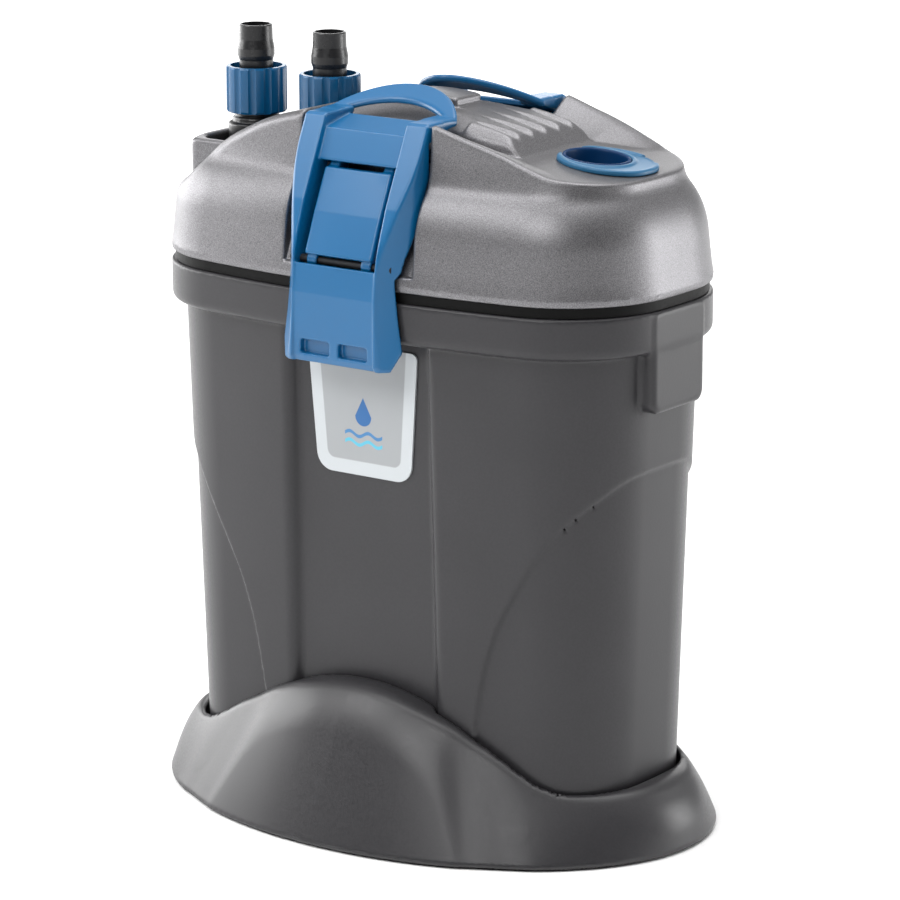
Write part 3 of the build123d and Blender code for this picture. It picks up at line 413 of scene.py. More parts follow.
def head_f(x, y, z):
    ay = np.abs(y)
    i = -oval_d(x, y)
    c1 = 3.5 / 33.2
    p1 = (c1 * (z - Z_HEAD) - i) / math.sqrt(1 + c1 * c1)
    p2 = ((z - 271.0) * 8 - (i - 3.5) * 9) / math.hypot(8, 9)
    low = smax(p1, p2, 7.0)
    p3 = (11.5 + (z - 280) * 2 / 7 - i) / math.sqrt(1 + 4 / 49)
    p4 = (13.5 + (z - 287) * 2 / 29 - i) / math.sqrt(1 + 4 / 841)
    upp = smin(p3, p4, 1.2)
    body = smin(low, upp, 1.2)
    body = np.where(z < 276, np.where(z > 240, body, p1), body)
    # ridge line over the length
    zr = RIDGE(x)
    sl = (RIDGE(x + 1) - RIDGE(x - 1)) / 2
    top = (z - zr) / np.sqrt(1 + sl * sl)
    k = np.where(x < -30, 4.5, 1.6)
    f = smax(body, top, k)
    # connector pocket's raised end wall
    pw = smax(i * -1 + 8.5, z - 283.9, 2.2)
    pw = smax(pw, rbox(x, y, -100.0, 0.0, 18.0, 31.0, 8.0), 2.0)
    pw = np.maximum(pw, 268.0 - z)
    f = smin(f, pw, 3.0)
    # bay with the shelf at the +X end and the valleys beside the grip block
    zs = shelf(np.maximum(x, 61.5)) + np.maximum(61.5 - x, 0) * 0.05
    yv = 26.5 + np.where(x > 61, 0.4375 * (x - 61), 0.0)
    yc = oval_y(x) - 18.2
    tw = np.maximum(zr - 0.4 - zs, 0.0) / np.maximum(yc - yv, 5.0)
    tw = np.minimum(tw, 0.75)
    bay = (z - (zs + np.maximum(ay - yv, 0) * tw)) / np.sqrt(1 + tw * tw)
    bay = smax(-bay, (16.5 - x), 2.0)            # inside the bay is negative here
    hw = 28.4 - 0.068 * (x - 32.5)
    zb = 304.0 - 0.152 * (x - 32.5)
    face = ((x - 52.6) * 9.9 + (z - 300.8) * 9.2) / math.hypot(9.9, 9.2)
    side = ay - hw
    cham = (side + (z - zb) + 4.6) / math.sqrt(2)
    blk = smax(smax(z - zb, side, 1.0), cham, 1.5)
    blk = smax(blk, face, 1.5)
    # five tapered grooves, open at the end face
    for g0, g1 in zip(*GROOVES):
        gy = g0 + (g1 - g0) * (x - 25.0) / 28.0
        rr = np.clip(0.35 + (x - 24.0) * 0.075, 0.2, 2.9)
        dz = np.clip((x - 22.0) / 30.0, 0, 1)
        gr = np.hypot((y - gy), (z - (zb + 0.9 - 0.9 * dz))) - rr
        gr = np.maximum(gr, 23.0 - x)
        blk = smax(blk, -gr, 0.7)
    bay = smax(bay, -blk, 1.2)
    f = smax(f, -bay, 1.3)
    # latch notches
    nt = poly_sd(ay, z, NOTCH)
    nt = smax(nt, np.abs(x) - 33.3, 1.0)
    f = smax(f, -nt, 1.2)
    # connector pocket
    pk = rbox(x, y, -74.25, 0.0, 36.25, 26.0, 10.0)
    pk = smax(pk, 250.0 - z, 2.0)
    f = smax(f, -pk, 1.8)
    # priming bore, connector holes, gland bore
    f = np.maximum(f, -np.maximum(np.hypot(x - PRIME_X, y) - 15.7, 243 - z))
    for cx in CON_X:
        f = np.maximum(f, -np.maximum(np.hypot(x - cx, y) - 7.6, np.abs(z - 250) - 8))
    f = np.maximum(f, -np.maximum(np.hypot(x + 72.0, z - 252.0) - 5.1, 52.0 - y))
    return smax(f, Z_HEAD - z, 1.2)


def head_cavity_f(x, y, z):
    """The space inside the 3 mm shell, as a solid."""
    return smax(head_f(x, y, z) + 3.0, Z_HEAD + 0.9 - z, 1.0)


# ----------------------------------------------------------------------------
# Latch
# ----------------------------------------------------------------------------
ARM = [(-50.3, 305.0), (-57.7, 289), (-65.5, 272), (-70.5, 258), (-73.3, 248), (-74.9, 230), (-74.7, 207.0), (-73.4, 205.0),
       (-70.4, 205), (-66.4, 213), (-66.4, 243), (-64.2, 246), (-62.4, 252), (-53.4, 272), (-48.5, 284), (-48.5, 297.6),
       (-31.5, 303.0), (-31.5, 306), (-48.6, 305.8)]
LOWX = [(-72.3, 246.4), (-73.5, 234.4), (-73.6, 207.6), (-72.6, 205.2), (-68.5, 205.0), (-66.4, 208.5), (-66.4, 212.5),
        (-69.8, 215.5), (-70.2, 244.0), (-70.6, 246.4)]
UPX = [(-50.2, 300.3), (-55.4, 287.6), (-53.6, 286.9), (-48.4, 298.2), (-34.0, 301.6), (-34.0, 304.0)]
SLAB = [(-42, 302.6), (-31.5, 302.8), (-13.2, 313.2), (-10, 315.0), (-10, 317.8), (-13.2, 316.1), (-31.5, 305.9), (-42, 305.9)]


def arc3(p, q, r):
    """Circle through three points: centre and radius."""
    ax, ay = p
    bx, by = q
    cx, cy = r
    d = 2 * (ax * (by - cy) + bx * (cy - ay) + cx * (ay - by))
    ux = ((ax * ax + ay * ay) * (by - cy) + (bx * bx + by * by) * (cy - ay) + (cx * cx + cy * cy) * (ay - by)) / d
    uy = ((ax * ax + ay * ay) * (cx - bx) + (bx * bx + by * by) * (ax - cx) + (cx * cx + cy * cy) * (bx - ax)) / d
    return ux, uy, math.hypot(ax - ux, ay - uy)


OU = arc3((33, -31.5), (0, -13.5), (-33, -31.5))
IN = arc3((20.4, -28.0), (0, -23.2), (-20.4, -28.0))


def latch_f(x, y, z):
    ax = np.abs(x)
    prof = poly_sd(y, z, ARM)
    f = smax(prof, ax - 31.9, 1.6)
    f = smax(f, 20.9 - ax, 1.0)
    t = (z - 203.0) / 83.0
    x0, y0 = 21.6 + (30.5 - 21.6) * t, -76 + 16 * t
    x1, y1 = 33 + t, -66.9 + 14.9 * t
    dx, dy = x1 - x0, y1 - y0
    fac = ((ax - x0) * dy - (y - y0) * dx) / np.hypot(dx, dy)
    f = smax(f, fac, 1.4)
    # grip ring
    ring = poly_sd(y, z, SLAB)
    plan = np.maximum(np.hypot(x - OU[0], y - OU[1]) - OU[2], np.where(y > -30, IN[2] - np.hypot(x - IN[0], y - IN[1]), 20.9 - ax))
    plan = np.maximum(plan, np.where(y < -31.5, ax - 33.0 + (-31.5 - y) * 0.17, -5.0))
    plan = np.maximum(plan, -39.5 - y)
    ring = smax(ring, plan, 1.5)
    f = smin(f, ring, 1.0)
    upx = smax(poly_sd(y, z, UPX), ax - 21.5, 0.8)
    f = smin(f, upx, 0.9)
    lox = smax(poly_sd(y, z, LOWX), ax - 21.5, 0.8)
    f = smin(f, lox, 0.9)
    for cx in (-9.8, 9.8):
        sl = smax(rbox(x, z, cx, 211.6, 7.5, 3.0, 1.2), y + 70.6, 0.6)
        f = smax(f, -sl, 0.7)
    return f


PLATE = [(-56.3, 284.6), (-64.2, 267.4), (-70.9, 250.6), (-67.9, 249.4), (-53.2, 284.6)]
EAR = [(-56.0, 284.2), (-53.6, 285.2), (-48.6, 292.6), (-44.4, 289.0), (-64.4, 246.2), (-69.0, 249.2)]


def link_f(x, y, z):
    ax = np.abs(x)
    crown = 0.5 * (1 - (ax / 17.4) ** 2)
    f = smax(poly_sd(y + crown - 0.5, z, PLATE), ax - 17.4, 1.4)
    for x0 in (-16.5, 11.5):
        ear = smin(poly_sd(y, z, EAR), np.minimum(np.hypot(y + 46.2, z - 291.0), np.hypot(y + 67.0, z - 247.5)) - 2.9, 0.8)
        ear = smax(ear, np.abs(x - x0 - 2.5) - 2.5, 0.8)
        f = smin(f, ear, 0.6)
    for p in ((-46.2, 291.0), (-67.0, 247.5)):
        f = np.maximum(f, 1.68 - np.hypot(y - p[0], z - p[1]))
    return f


# ----------------------------------------------------------------------------
# Priming bezel and its finger bowl
# ----------------------------------------------------------------------------
COS_S, SIN_S = math.cos(math.radians(6.5)), math.sin(math.radians(6.5))
BEZ = [arc3((-15.5, -20.6), (-20.4, 0), (-15.5, 20.6)), arc3((-15.5, 20.6), (1.5, 25.2), (15.8, 17.5)),
       arc3((15.8, 17.5), (20.0, 0), (15.8, -17.5)), arc3((15.8, -17.5), (1.5, -25.2), (-15.5, -20.6))]


def on_shelf(x, z):
    """Along and square to the shelf, from (88, 288.3)."""
    dx, dz = x - 88.0, z - 288.32
    return dx * COS_S - dz * SIN_S, dx * SIN_S + dz * COS_S


def bezel_f(x, y, z):
    u, w = on_shelf(x, z)
    d = -1e3
    for cx, cy, r in BEZ:
        d = smax(d, np.hypot(u - cx, y - cy) - r, 1.3)
    f = smax(d, w - 2.15, 1.2)
    f = np.maximum(f, -0.02 - w)
    # dished inside a rounded rim, deepest beside the bowl
    dish = smax(d + 2.1, 0.95 - w + 0.0022 * ((u + 4.0) ** 2 + 0.7 * y * y), 1.0)
    f = smax(f, -dish, 0.9)
    lip = smax(np.abs(np.hypot(x - PRIME_X, y) - 15.5) - 0.85, w - 2.0, 0.8)
    lip = np.maximum(lip, 0.3 - w)
    lip = np.maximum(lip, d + 0.4)
    f = smin(f, lip, 1.0)
    # crescent finger slit near the back corner
    s1 = np.hypot(u - 1.0, y - 0.0) - 19.6
    s2 = 18.9 - np.hypot(u - 0.4, y + 1.0)
    slit = smax(smax(s1, s2, 0.3), np.abs(np.arctan2(y, u) - 1.02) * 18.0 - 6.0, 0.5)
    f = smax(f, -np.maximum(slit, 0.55 - w), 0.3)
    return np.maximum(f, PRIME_R + 0.25 - np.hypot(x - PRIME_X, y))


def bowl_f(x, y, z):
    r = np.hypot(x - PRIME_X, y)
    u, w = on_shelf(x, z)
    f = smax(r - PRIME_R, w - 2.3, 1.3)
    f = np.maximum(f, 262.0 - z)
    cup = smax(r - (PRIME_R - 1.7) + (288.0 - z) * 0.05, 270.0 - z, 7.0)
    return smax(f, -cup, 1.2)


# ----------------------------------------------------------------------------
# Hose connectors: upright spigots with two sealing rings and a broader band above them
# ----------------------------------------------------------------------------
def elbow_f(cx, z_low):
    def f(x, y, z):
        r = np.hypot(x - cx, y)
        prof = smax(r - 10.6, np.maximum(z - 291.0, 251.6 - z), 1.4)
        for zc, rc, hh in ((263.0, 11.6, 2.6), (273.5, 12.2, 2.4), (284.5, 12.4, 4.0)):
            prof = smin(prof, smax(r - rc, np.abs(z - zc) - hh, 1.4), 0.7)
        neck = smax(r - 9.6, np.maximum(z - 303.0, 285.0 - z), 0.7)
        low = smax(r - 7.4, np.maximum(z - 256.0, z_low - z), 0.5)
        g = smin(smin(prof, neck, 0.8), low, 0.6)
        return smax(g, 5.5 - r, 0.6)
    return f


# ----------------------------------------------------------------------------
# Foams: open-cell blocks with slightly swollen, pitted faces
# ----------------------------------------------------------------------------
def foam_f(z0, z1, cell, seed):
    rng = np.random.default_rng(seed)
    ph = rng.uniform(0, 6.283, 6)
    dirs = rng.normal(size=(6, 3))
    dirs /= np.linalg.norm(dirs, axis=1)[:, None]
    mid, half = (z0 + z1) / 2, (z1 - z0) / 2

    def f(x, y, z):
        d = oval_d(x, y) + inset_of(z0) + 7.6
        d = smax(d, -channel(x, y, z, 7.2), 6.0)
        d = smax(d, -81.3 - x, 4.0)
        slump = 0.8 * np.clip((d + 30.0) / 30.0, 0, 1) ** 2
        bulge = 0.9 * ((z - mid) / half) ** 2
        g = smax(d + bulge, np.abs(z - mid) - half + 0.45 + slump, 4.0)
        w = 0.0
        for (a, b, e), p in zip(dirs, ph):
            w = w + np.sin((a * x + b * y + e * z) * 6.283 / cell + p)
        return g + 0.16 * np.clip(w, -2.5, 2.5) + 0.1
    return f


# ----------------------------------------------------------------------------
# Materials
# ----------------------------------------------------------------------------
def material(name, color, rough=0.45, grain=0.35, bump=0.25, flake=0.0, metallic=0.0, coat=0.0, spread=0.06, specular=0.5,
             fleck=None, wear=0.0, sheen=0.0):
    """Moulded surface: soft colour drift, fine grain in bump and gloss, optional metallic flakes."""
    m = bpy.data.materials.new(name)
    m.use_nodes = True
    nt = m.node_tree
    N, L = nt.nodes, nt.links
    bsdf = N["Principled BSDF"]
    tc = N.new("ShaderNodeTexCoord")
    big = N.new("ShaderNodeTexNoise")
    big.inputs["Scale"].default_value = 22.0
    big.inputs["Detail"].default_value = 3.0
    L.new(tc.outputs["Object"], big.inputs["Vector"])
    fine = N.new("ShaderNodeTexNoise")
    fine.inputs["Scale"].default_value = 1000.0 / max(grain, 0.05) / 2.2
    fine.inputs["Detail"].default_value = 2.0
    L.new(tc.outputs["Object"], fine.inputs["Vector"])
    ramp = N.new("ShaderNodeValToRGB")
    ramp.color_ramp.elements[0].position = 0.3
    ramp.color_ramp.elements[1].position = 0.7
    lo = [max(c * (1 - spread), 0) for c in color]
    hi = [min(c * (1 + spread), 1) for c in color]
    ramp.color_ramp.elements[0].color = (*lo, 1)
    ramp.color_ramp.elements[1].color = (*hi, 1)
    L.new(big.outputs["Fac"], ramp.inputs["Fac"])
    col = ramp.outputs["Color"]
    if flake > 0:
        fr = N.new("ShaderNodeValToRGB")
        fr.color_ramp.elements[0].position = 0.36
        fr.color_ramp.elements[0].color = (1 - flake, 1 - flake, 1 - flake, 1)
        fr.color_ramp.elements[1].position = 0.66
        fr.color_ramp.elements[1].color = (1, 1, 1, 1)
        L.new(fine.outputs["Fac"], fr.inputs["Fac"])
        mx = N.new("ShaderNodeMix")
        mx.data_type = "RGBA"
        mx.blend_type = "MULTIPLY"
        mx.inputs["Factor"].default_value = 1.0
        L.new(col, mx.inputs["A"])
        L.new(fr.outputs["Color"], mx.inputs["B"])
        col = mx.outputs["Result"]
    L.new(col, bsdf.inputs["Base Color"])
    mr = N.new("ShaderNodeMapRange")
    mr.inputs["From Min"].default_value = 0.3
    mr.inputs["From Max"].default_value = 0.7
    vary = 0.05 if bump > 0 else 0.006
    mr.inputs["To Min"].default_value = max(rough - vary, 0.02)
    mr.inputs["To Max"].default_value = min(rough + vary, 1)
    L.new(fine.outputs["Fac"], mr.inputs["Value"])
    L.new(mr.outputs["Result"], bsdf.inputs["Roughness"])
    if bump > 0:
        bp = N.new("ShaderNodeBump")
        bp.inputs["Strength"].default_value = bump
        bp.inputs["Distance"].default_value = 0.00012
        L.new(fine.outputs["Fac"], bp.inputs["Height"])
        L.new(bp.outputs["Normal"], bsdf.inputs["Normal"])
    bsdf.inputs["Metallic"].default_value = metallic
    bsdf.inputs["Specular IOR Level"].default_value = specular
    if coat > 0:
        bsdf.inputs["Coat Weight"].default_value = coat
        bsdf.inputs["Coat Roughness"].default_value = 0.12
    if sheen > 0:
        bsdf.inputs["Sheen Weight"].default_value = sheen
    return m


MAT = {
    "housing_grey": material("housing_grey", (0.032, 0.031, 0.034), rough=0.36, grain=0.45, bump=0.18, flake=0.12, specular=0.36),
    "foot_grey": material("foot_grey", (0.034, 0.033, 0.036), rough=0.36, grain=0.45, bump=0.10, flake=0.10, specular=0.5),
    "head_grey": material("head_grey", (0.255, 0.251, 0.262), rough=0.41, grain=0.18, bump=0.38, flake=0.48, metallic=0.82, spread=0.03),
    "latch_blue": material("latch_blue", (0.0003, 0.105, 0.265), rough=0.30, grain=0.5, bump=0.0, spread=0.04, specular=0.6),
    "bezel_blue": material("bezel_blue", (0.015, 0.115, 0.235), rough=0.38, grain=0.5, bump=0.0, spread=0.04, specular=0.4),
    # the bowl's blue is the latch blue darkened about threefold, which is painted shade standing in for the shade down
    # inside the cup
    "bowl_blue": material("bowl_blue", (0.0003, 0.030, 0.105), rough=0.42, grain=0.5, bump=0.0, spread=0.04, specular=0.2),
    "nut_blue": material("nut_blue", (0.0005, 0.080, 0.200), rough=0.26, grain=0.5, bump=0.0, spread=0.04, specular=0.5),
    "black_plastic": material("black_plastic", (0.010, 0.010, 0.011), rough=0.32, grain=0.5, bump=0.10, spread=0.2),
    "band_black": material("band_black", (0.003, 0.003, 0.003), rough=0.5, grain=0.5, bump=0.10, spread=0.2, specular=0.12),
    "inner_plastic": material("inner_plastic", (0.055, 0.055, 0.060), rough=0.45, grain=0.6, bump=0.2),
    "ceramic": material("ceramic", (0.74, 0.68, 0.58), rough=0.85, grain=0.5, bump=0.9, flake=0.2, spread=0.1),
    "bush_ceramic": material("bush_ceramic", (0.78, 0.78, 0.76), rough=0.2, grain=0.4, bump=0.05),
    "magnet": material("magnet", (0.05, 0.05, 0.052), rough=0.4, grain=0.3, bump=0.2, metallic=0.7),
    "potting": material("potting", (0.02, 0.02, 0.02), rough=0.18, grain=1.0, bump=0.05),
    "steel": material("steel", (0.6, 0.6, 0.61), rough=0.28, grain=0.3, bump=0.1, metallic=1.0),
    "dark_steel": material("dark_steel", (0.03, 0.03, 0.032), rough=0.5, grain=0.3, bump=0.1, metallic=0.3, specular=0.3),
    "rubber": material("rubber", (0.014, 0.014, 0.015), rough=0.75, grain=0.4, bump=0.4, spread=0.2),
    "coarse_foam": material("coarse_foam_open", (0.02, 0.09, 0.26), rough=0.95, grain=1.6, bump=1.0, flake=0.6),
    "fine_foam": material("fine_foam_open", (0.02, 0.02, 0.021), rough=0.95, grain=0.8, bump=1.0, flake=0.6),
}


def paint(obj, mat):
    obj.data.materials.clear()
    obj.data.materials.append(mat)


slot_of = {s["node"]: s["material_slot"] for s in frame["record"]["subparts"]}
for name, obj in NODES.items():
    key = slot_of.get(name)
    if key in MAT:
        paint(obj, MAT[key])
paint(NODES["head_base_plate"], MAT["band_black"])
for name in ("link_pins", "front_frame_pin", "rear_frame_pin"):
    paint(NODES[name], MAT["dark_steel"])


def put(name, f, lo, hi, h, body, replaces, mat, slot=None, mirror_y=False):
    P, Q = f if isinstance(f, tuple) else nets(f, lo, hi, h)
    if mirror_y:
        P = P * np.array([1, -1, 1])
        Q = Q[:, ::-1]
    o = mesh_object(name, P, Q)
    paint(o, mat)
    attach(o, body)
    if replaces:
        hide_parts(*replaces)
    return o, (P, Q)


def canister_shell_f(x, y, z):
    """Wall, floor and rim in one surface, open at the top."""
    return smax(canister_f(x, y, z), -canister_cavity_f(x, y, z), 0.8)


can, _ = put("canister_body", canister_shell_f, (-126.3, -68.3, 7.7), (126.3, 68.3, 236), 1.3, "canister", ["canister_housing"],
             MAT["housing_grey"], "housing_grey")
foot, _ = put("foot_skirt", foot_f, (-135.3, -96.3, -1.3), (135.3, 96.3, 69), 1.35, "canister", ["base_foot"], MAT["foot_grey"], "foot_grey")
P1, Q1 = nets(head_f, (-125.3, -67.3, 236.2), (125.3, 67.3, 313.0), 0.85)
P2, Q2 = nets(head_cavity_f, (-122.3, -64.3, 236.2), (122.3, 64.3, 311.0), 2.2)
head, _ = put("head_cover", (np.concatenate([P1, P2]), np.concatenate([Q1, Q2[:, ::-1] + len(P1)])), None, None, None, "head",
              ["head_shell"], MAT["head_grey"], "head_grey")
lf, data = put("front_latch", latch_f, (-34.3, -76.7, 203.3), (34.3, -11.5, 319), 0.55, "front_frame", ["front_latch_frame"],
               MAT["latch_blue"], "latch_blue")
put("rear_latch", data, None, None, None, "rear_frame", ["rear_latch_frame"], MAT["latch_blue"], "latch_blue", mirror_y=True)
lk, data = put("front_link_plate", link_f, (-18.6, -73.3, 243.3), (18.6, -41.5, 296), 0.55, "front_link", ["front_draw_link"],
               MAT["latch_blue"], "latch_blue")
put("rear_link_plate", data, None, None, None, "rear_link", ["rear_draw_link"], MAT["latch_blue"], "latch_blue", mirror_y=True)
put("bezel_plate", bezel_f, (64.3, -27.3, 283.3), (111.3, 27.3, 297.3), 0.45, "head", ["priming_bezel"], MAT["bezel_blue"], "latch_blue")
# the bowl takes the darkened blue, which is painted shade for the inside of the cup
put("bowl", bowl_f, (65.3, -16.3, 260.3), (98.3, 16.3, 296.3), 0.55, "plunger", ["priming_plunger"], MAT["bowl_blue"], "latch_blue")
# return spring under the bowl: a fixed coil of round wire with closed ends
turns, around, wire = 19.8 / 3.35, 8, 0.6
ang = np.linspace(0, 2 * np.pi * turns, 237)
out = np.stack([np.cos(ang), np.sin(ang), 0 * ang], 1)
mid = out * 8.6 + np.stack([0 * ang + PRIME_X, 0 * ang, 241.35 + ang / (2 * np.pi) * 3.35], 1)
phi = np.arange(around) * 2 * np.pi / around
SP = (mid[:, None] + wire * (np.cos(phi)[None, :, None] * out[:, None] + np.sin(phi)[None, :, None] * np.array([0, 0, 1.0]))).reshape(-1, 3)
row = (np.arange(len(ang) - 1) * around)[:, None]
i0 = np.arange(around)[None, :]
i1 = (i0 + 1) % around
SQ = np.stack([row + i0, row + i1, row + around + i1, row + around + i0], 2).reshape(-1, 4)
last = (len(ang) - 1) * around
cap = np.array([(0, 1, 2, 3), (0, 3, 4, 7), (4, 5, 6, 7)])
SQ = np.concatenate([SQ[:, ::-1], cap, cap[:, ::-1] + last])
coil, _ = put("return_spring", (SP, SQ), None, None, None, "head", ["priming_spring"], MAT["steel"], "steel")
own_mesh(coil)
for side, cx, z_low in (("inlet", CON_X[0], 212.0), ("outlet", CON_X[1], 237.8)):
    put(side + "_barrel", elbow_f(cx, z_low), (cx - 13.3, -13.3, z_low - 2.3), (cx + 13.3, 13.3, 305.3), 0.7, "head",
        [side + "_elbow"], MAT["black_plastic"], "black_plastic")
for k, (node, cell, riding) in enumerate((("coarse_foam", 3.4, "basket_low"), ("fine_foam", 2.1, "basket_top"))):
    blo, bhi = (np.array(q) * 1000.0 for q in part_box(node))
    pad, _ = put(node + "_block", foam_f(blo[2], bhi[2], cell, 11 + k), blo - 2.3, bhi + 2.3, 1.0, riding, [node], MAT[node], node)


# ----------------------------------------------------------------------------
# Label: light plate with a pale border and a generic water mark
# ----------------------------------------------------------------------------
def label_material():
    m = bpy.data.materials.new("label_print")
    m.use_nodes = True
    nt = m.node_tree
    N, L = nt.nodes, nt.links
    bsdf = N["Principled BSDF"]
    tc = N.new("ShaderNodeTexCoord")
    sep = N.new("ShaderNodeSeparateXYZ")
    L.new(tc.outputs["Object"], sep.inputs["Vector"])

    def math_node(op, a, b=None, c=None):
        n = N.new("ShaderNodeMath")
        n.operation = op
        for i, v in enumerate((a, b, c)):
            if v is None:
                continue
            if isinstance(v, (int, float)):
                n.inputs[i].default_value = v
            else:
                L.new(v, n.inputs[i])
        return n.outputs[0]

    x = math_node("ABSOLUTE", sep.outputs["X"])
    z = sep.outputs["Z"]
    # half width of the inner field falls with height
    hw = math_node("MULTIPLY_ADD", math_node("SUBTRACT", z, 0.161), 0.0763, 0.0191)
    side = math_node("SUBTRACT", x, hw)
    low = math_node("SUBTRACT", 0.1597, z)
    # rounded inner corner: length of the positive parts over a 4 mm radius
    r = 0.0035
    qx = math_node("MAXIMUM", math_node("ADD", side, r), 0.0)
    qz = math_node("MAXIMUM", math_node("ADD", low, r), 0.0)
    ln = math_node("SQRT", math_node("ADD", math_node("MULTIPLY", qx, qx), math_node("MULTIPLY", qz, qz)))
    inside_part = math_node("MINIMUM", math_node("MAXIMUM", math_node("ADD", side, r), math_node("ADD", low, r)), 0.0)
    dist = math_node("SUBTRACT", math_node("ADD", ln, inside_part), r)
    ramp = N.new("ShaderNodeMapRange")
    ramp.inputs["From Min"].default_value = -0.00025
    ramp.inputs["From Max"].default_value = 0.00025
    L.new(dist, ramp.inputs["Value"])
    noise = N.new("ShaderNodeTexNoise")
    noise.inputs["Scale"].default_value = 900.0
    L.new(tc.outputs["Object"], noise.inputs["Vector"])
    mix = N.new("ShaderNodeMix")
    mix.data_type = "RGBA"
    mix.inputs["A"].default_value = (0.335, 0.350, 0.362, 1)
    mix.inputs["B"].default_value = (0.53, 0.56, 0.58, 1)
    L.new(ramp.outputs["Result"], mix.inputs["Factor"])

    # generic mark: a drop over two water waves
    def node2(op, a, b=None):
        return math_node(op, a, b)

    X0 = sep.outputs["X"]
    dz = node2("SUBTRACT", z, 0.1795)
    drop_r = math_node("MULTIPLY_ADD", node2("MAXIMUM", dz, 0.0), -0.52, 0.0042)
    drop = node2("SUBTRACT", node2("SQRT", node2("ADD", node2("MULTIPLY", X0, X0),
                 node2("MULTIPLY", node2("MINIMUM", dz, 0.0), node2("MINIMUM", dz, 0.0)))), drop_r)
    wave_x = node2("MULTIPLY", node2("SINE", node2("MULTIPLY", X0, 640.0)), 0.00095)
    marks = [(drop, (0.012, 0.115, 0.33, 1))]
    for zw, tint in ((0.1715, (0.05, 0.20, 0.43, 1)), (0.1678, (0.10, 0.46, 0.62, 1))):
        band = node2("SUBTRACT", node2("ABSOLUTE", node2("SUBTRACT", node2("SUBTRACT", z, wave_x), zw)), 0.00075)
        band = node2("MAXIMUM", band, node2("SUBTRACT", x, 0.0098))
        marks.append((band, tint))
    out = mix.outputs["Result"]
    for dd, tint in marks:
        edge = N.new("ShaderNodeMapRange")
        edge.inputs["From Min"].default_value = 0.0001
        edge.inputs["From Max"].default_value = -0.0001
        L.new(dd, edge.inputs["Value"])
        mm = N.new("ShaderNodeMix")
        mm.data_type = "RGBA"
        L.new(edge.outputs["Result"], mm.inputs["Factor"])
        L.new(out, mm.inputs["A"])
        mm.inputs["B"].default_value = tint
        out = mm.outputs["Result"]
    L.new(out, bsdf.inputs["Base Color"])
    rr = N.new("ShaderNodeMapRange")
    rr.inputs["To Min"].default_value = 0.30
    rr.inputs["To Max"].default_value = 0.42
    L.new(noise.outputs["Fac"], rr.inputs["Value"])
    L.new(rr.outputs["Result"], bsdf.inputs["Roughness"])
    return m


paint(NODES["label_plate"], label_material())

# ----------------------------------------------------------------------------
# Stage: floor, backdrop light and soft boxes
# ----------------------------------------------------------------------------
world = bpy.data.worlds.new("world")
scene.world = world
world.use_nodes = True
# white all round, falling off toward the front right
wn, wl = world.node_tree.nodes, world.node_tree.links
wtc = wn.new("ShaderNodeTexCoord")
wdot = wn.new("ShaderNodeVectorMath")
wdot.operation = "DOT_PRODUCT"
wl.new(wtc.outputs["Generated"], wdot.inputs[0])
wdot.inputs[1].default_value = (0.423, -0.906, 0.0)
wmr = wn.new("ShaderNodeMapRange")
wmr.interpolation_type = "SMOOTHSTEP"
wmr.inputs["From Min"].default_value = 0.05
wmr.inputs["From Max"].default_value = 0.70
wmr.inputs["To Min"].default_value = 0.50
wmr.inputs["To Max"].default_value = 0.03
wl.new(wdot.outputs["Value"], wmr.inputs["Value"])
wsep = wn.new("ShaderNodeSeparateXYZ")
wl.new(wtc.outputs["Generated"], wsep.inputs["Vector"])
wtop = wn.new("ShaderNodeMapRange")
wtop.interpolation_type = "SMOOTHSTEP"
wtop.inputs["From Min"].default_value = 0.62
wtop.inputs["From Max"].default_value = 0.95
wtop.inputs["To Min"].default_value = 0.0
wtop.inputs["To Max"].default_value = 0.85
wl.new(wsep.outputs["Z"], wtop.inputs["Value"])
wsum = wn.new("ShaderNodeMath")
wsum.operation = "ADD"
wl.new(wmr.outputs["Result"], wsum.inputs[0])
wl.new(wtop.outputs["Result"], wsum.inputs[1])
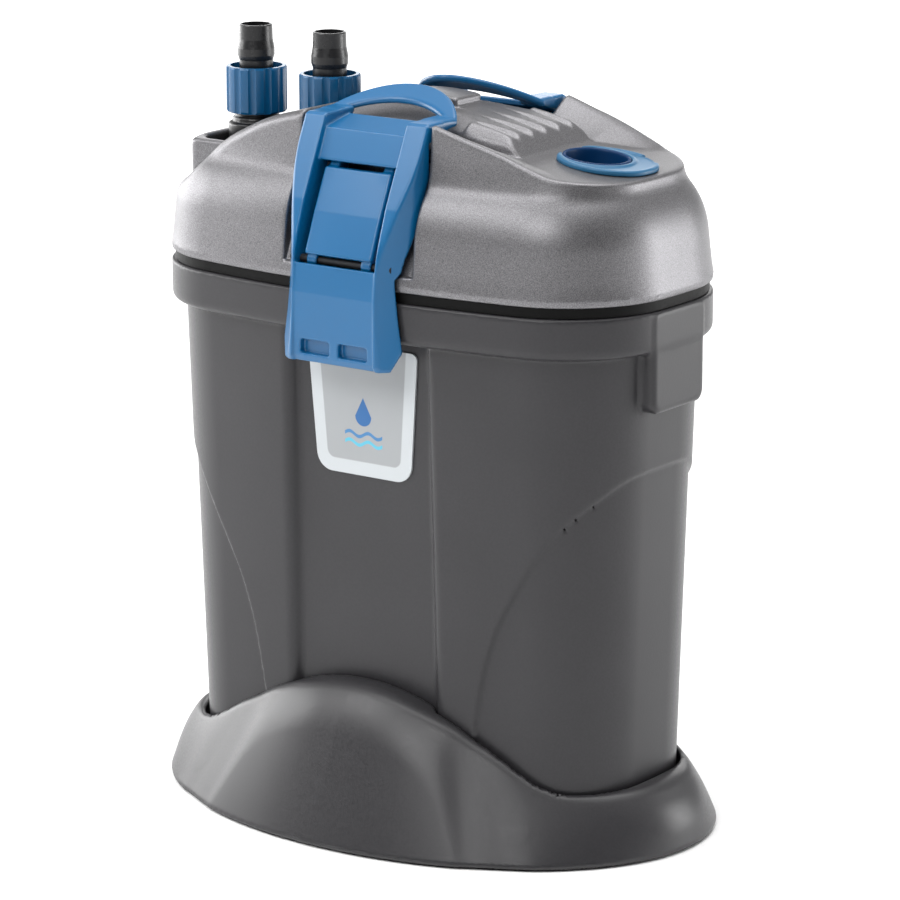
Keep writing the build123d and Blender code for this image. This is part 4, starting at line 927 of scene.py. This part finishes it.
# the ground beyond the floor sheet is white
wlow = wn.new("ShaderNodeMath")
wlow.operation = "LESS_THAN"
wl.new(wsep.outputs["Z"], wlow.inputs[0])
wlow.inputs[1].default_value = 0.0
wadd = wn.new("ShaderNodeMath")
wadd.operation = "MULTIPLY_ADD"
wl.new(wlow.outputs[0], wadd.inputs[0])
wadd.inputs[1].default_value = 1.2
wl.new(wsum.outputs[0], wadd.inputs[2])
wl.new(wadd.outputs[0], wn["Background"].inputs["Color"])
wn["Background"].inputs["Strength"].default_value = 1.0

bm = bmesh.new()
bmesh.ops.create_grid(bm, x_segments=2, y_segments=2, size=1.1)
fm = bpy.data.meshes.new("floor")
bm.to_mesh(fm)
bm.free()
floor = bpy.data.objects.new("floor", fm)
scene.collection.objects.link(floor)
fmat = bpy.data.materials.new("floor_pale")
fmat.use_nodes = True
fmat.node_tree.nodes["Principled BSDF"].inputs["Base Color"].default_value = (0.97, 0.97, 0.97, 1)
fmat.node_tree.nodes["Principled BSDF"].inputs["Roughness"].default_value = 0.9
fmat.node_tree.nodes["Principled BSDF"].inputs["Specular IOR Level"].default_value = 0.1
paint(floor, fmat)


def area(name, loc, aim, size, power, size_y=None, color=(1, 1, 1)):
    ld = bpy.data.lights.new(name, "AREA")
    ld.energy = power
    ld.size = size
    ld.color = color
    if size_y:
        ld.shape = "RECTANGLE"
        ld.size_y = size_y
    o = bpy.data.objects.new(name, ld)
    scene.collection.objects.link(o)
    o.location = loc
    o.rotation_euler = (Vector(aim) - Vector(loc)).to_track_quat("-Z", "Y").to_euler()
    return o


def around(az, el, dist):
    a, e = math.radians(az), math.radians(el)
    return (math.sin(a) * math.cos(e) * dist, -math.cos(a) * math.cos(e) * dist, math.sin(e) * dist + 0.15)


area("key_left", around(-68, 18, 1.6), (0, 0, 0.16), 0.6, 8.0, 0.6)
area("left_low", around(-97, 9, 1.6), (0, 0, 0.16), 0.9, 9.0, 0.6)
area("front_up", around(7, 37, 1.6), (0, 0, 0.16), 0.85, 8.5, 0.5)
area("upper_left", around(-38, 42, 1.6), (0, 0, 0.16), 0.6, 6.0, 0.5)
area("right_strip", around(132, 5, 1.5), (0, 0, 0.2), 0.6, 9.0, 0.8)
area("back_low", around(-150, 16, 1.7), (0, 0, 0.2), 1.2, 4.0, 0.4)
area("top", (0.0, 0.1, 1.6), (0, 0, 0.2), 1.4, 15.0)
